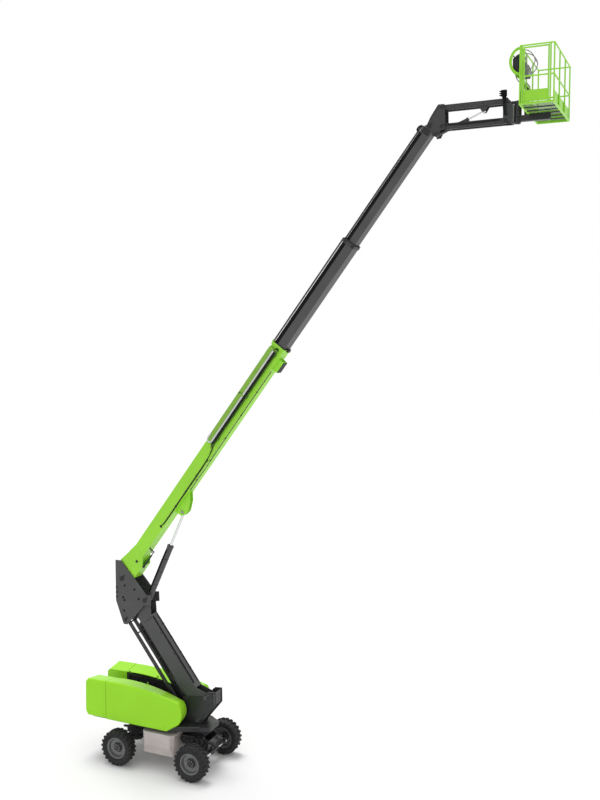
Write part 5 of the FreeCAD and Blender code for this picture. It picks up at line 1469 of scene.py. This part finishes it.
console = Maker(basket)
for y in (-0.12, -0.04, 0.04, 0.12):
    console.turned([(0, 0.020), (0.008, 0.018), (0.016, 0.010), (0.02, 0.006), (0.055, 0.005),
                    (0.058, 0.013), (0.075, 0.014), (0.086, 0.008), (0.087, 0.0)],
                   top.at(0.045, 0, y), top.v, 14)
for i in range(6):
    console.turned([(0, 0.008), (0.006, 0.008), (0.007, 0.003), (0.024, 0.003), (0.026, 0.0)],
                   top.at(0.095, 0, 0.055 * i - 0.14), top.v + top.u * 0.3, 10)
console.bar(*span(-0.1655, 0.86, 0.03), 0.16, 0.006, UP, 0.002)
for z in (0.80, 0.86, 0.92):
    console.bar(*span(-0.1695, z, 0.07), 0.012, 0.004, UP, 0.001)
for y in (box_low.y - 0.003, box_high.y + 0.003):
    console.bar((-0.085, 0.78, y), (-0.085, 0.97, y), 0.11, 0.006, "u", 0.002)
console.done("console_controls", "platform", "black_plastic", "pad")
button = Maker(top)
button.turned([(0, 0.016), (0.010, 0.016), (0.012, 0.024), (0.022, 0.024), (0.028, 0.016),
               (0.029, 0.0)], (0.05, 0, 0.155), "v", 18)
button.done("stop_button", "platform", "black_plastic", "stop_red")

# %% Inner panel, hand hoops and cables
panel = Maker(basket)
for y in (box_low.y + 0.03, box_high.y - 0.03):
    panel.plate([(x, z, y) for x, z in ((0.045, 0.60), (0.045, 0.94), (0.13, 0.90), (0.20, 0.74),
                                        (0.16, 0.60))], (0, 1, 0), 0.006)
panel.bar(*span(0.038, 0.585, 0.03), 0.05, 0.008, UP, 0.002)
panel.bar(*span(0.182, 0.67, 0.034), 0.13, 0.008, (0.25, 0, 0.97), 0.002)
panel.done("inner_panel", "platform", "rim_paint", "grey_paint")
HOOP = ((0.017, 1.16), (0.10, 1.17), (0.23, 1.10), (0.32, 0.96), (0.31, 0.84), (0.22, 0.72),
        (0.10, 0.66), (0.030, 0.62))
hoops = [basket.path(*((x, z, y) for x, z in HOOP))
         for y in (box_low.y + 0.02, box_high.y - 0.02)]
hoops.append(basket.path(*span(0.317, 0.93, 0.02)))
swept("hand_hoops", hoops, 0.0105, "platform", "grey_paint", 3)

cables = [basket.path((-0.10, 0.745, middle - 0.05), (-0.13, 0.66, middle - 0.03),
                      (-0.12, 0.60, middle + 0.06), (-0.10, 0.58, -0.36), (-0.088, 0.60, -0.26),
                      (-0.083, 0.60, -0.16))]
cables += [basket.path((-0.085, 0.50, a), (-0.088, 0.30, b), (-0.09, 0.05, c), (-0.085, -0.04, a))
           for a, b, c in ((0.056, 0.058, 0.06), (0.030, 0.028, 0.03))]
swept("platform_cables", cables, 0.009, "platform", sides=3)

# %% Rotator details
drum_low, drum_high = down.z - 0.039, up.z - 0.041
drum = Maker()
for z in (drum_low + 0.004, drum_high - 0.022):
    drum.turned([(0, 0.084), (0.002, 0.092), (0.016, 0.092), (0.018, 0.084)],
                (turn_x, 0, z), UP, 40)
for z in (drum_low + 0.09, drum_low + 0.17, drum_low + 0.25):
    drum.turned([(0, 0.0845), (0.002, 0.0875), (0.012, 0.0875), (0.014, 0.0845)],
                (turn_x, 0, z), UP, 40)
drum.bar((turn_x + 0.02, -0.090, drum_low + 0.16), (turn_x + 0.02, -0.125, drum_low + 0.16),
         0.10, 0.07, UP, 0.006)
for y in (-0.19, 0.19):
    drum.bar(basket.at(-0.049, 0.515, y), basket.at(-0.049, 0.665, y), 0.012, 0.055, bevel=0.003)
drum.bar(basket.at(-0.0485, 0.30, -0.05), basket.at(-0.0485, 0.30, 0.05), 0.06, 0.012, UP, 0.002)
drum.done("rotator_trim", "platform", "black_paint", "black_paint")
post_bolts = [(basket.at(-0.0755, z, y), (-1, 0, 0)) for y in (-0.19, -0.11, 0.11, 0.19)
              for z in (0.555, 0.625)]
bolts("rotator_bolts", post_bolts, 0.016, "platform")

# %% [markdown]
# ## Floor, light and camera
# The machine stands on a wide pale floor in soft studio light. The sky is an even white dome that
# lights from all sides, and one wide lamp high on the left gives the tops their brightness and the
# floor its soft shadow. The camera sees the empty background as plain white, which comes from the
# background's own colour and not from stronger light on the machine.

# %% Floor
FLOOR_RADIUS, FLOOR_Z, FLOOR_GREY = 90.0, -0.002, 0.83
floor_mesh = bpy.data.meshes.new("studio_floor")
shape = bmesh.new()
bmesh.ops.create_circle(shape, cap_ends=True, radius=FLOOR_RADIUS, segments=96)
bmesh.ops.translate(shape, verts=shape.verts, vec=(0.0, 0.0, FLOOR_Z))
shape.to_mesh(floor_mesh)
shape.free()
floor = bpy.data.objects.new("studio_floor", floor_mesh)
bpy.context.scene.collection.objects.link(floor)

floor_look = bpy.data.materials.new("studio_floor")
floor_look.use_nodes = True
tree = floor_look.node_tree
tree.nodes.remove(tree.nodes["Principled BSDF"])
matt = first(tree, "ShaderNodeBsdfDiffuse", {"Color": (FLOOR_GREY, FLOOR_GREY, FLOOR_GREY, 1.0)})
tree.links.new(matt, tree.nodes["Material Output"].inputs["Surface"])
floor_mesh.materials.append(floor_look)

# %% Sky and lamp
WHITE = (1, 1, 1, 1)
DOME_LIGHT, BACKDROP = 0.84, 1.0


def seen_directly(tree):
    """1 for what the camera, a reflection or a pane of glass sees, 0 for light that bounces."""
    path = add(tree, "ShaderNodeLightPath").outputs
    either = math_node(tree, "MAXIMUM", path["Is Camera Ray"], path["Is Glossy Ray"])
    return math_node(tree, "MAXIMUM", either, path["Is Transmission Ray"])


world = bpy.data.worlds.new("studio")
bpy.context.scene.world = world
world.use_nodes = True
tree = world.node_tree
tree.nodes.remove(tree.nodes["Background"])
dome = first(tree, "ShaderNodeBackground", {"Color": WHITE, "Strength": DOME_LIGHT})
white = first(tree, "ShaderNodeBackground", {"Color": WHITE, "Strength": BACKDROP})
mixed = first(tree, "ShaderNodeMixShader", {0: seen_directly(tree), 1: dome, 2: white})
tree.links.new(mixed, tree.nodes["World Output"].inputs["Surface"])

lamp_data = bpy.data.lights.new("key_lamp", "SUN")
lamp_data.energy = 1.5
lamp_data.angle = math.radians(25)
lamp = bpy.data.objects.new("key_lamp", lamp_data)
lamp.rotation_euler = (math.radians(-10), math.radians(-12), 0.0)
bpy.context.scene.collection.objects.link(lamp)

# %% Camera
camera_data = bpy.data.cameras.new("camera")
camera_data.lens = 42.2
camera_data.clip_end = 400.0
camera = bpy.data.objects.new("camera", camera_data)
camera.location = (14.1, -22.3, 12.4)
camera.rotation_euler = (math.radians(85.5), 0.0, math.radians(24.3))
bpy.context.scene.collection.objects.link(camera)
bpy.context.scene.camera = camera
bpy.context.scene.view_settings.view_transform = "Standard"
print("camera at", [round(c, 1) for c in camera.location], "lens", round(camera_data.lens, 1), "mm")
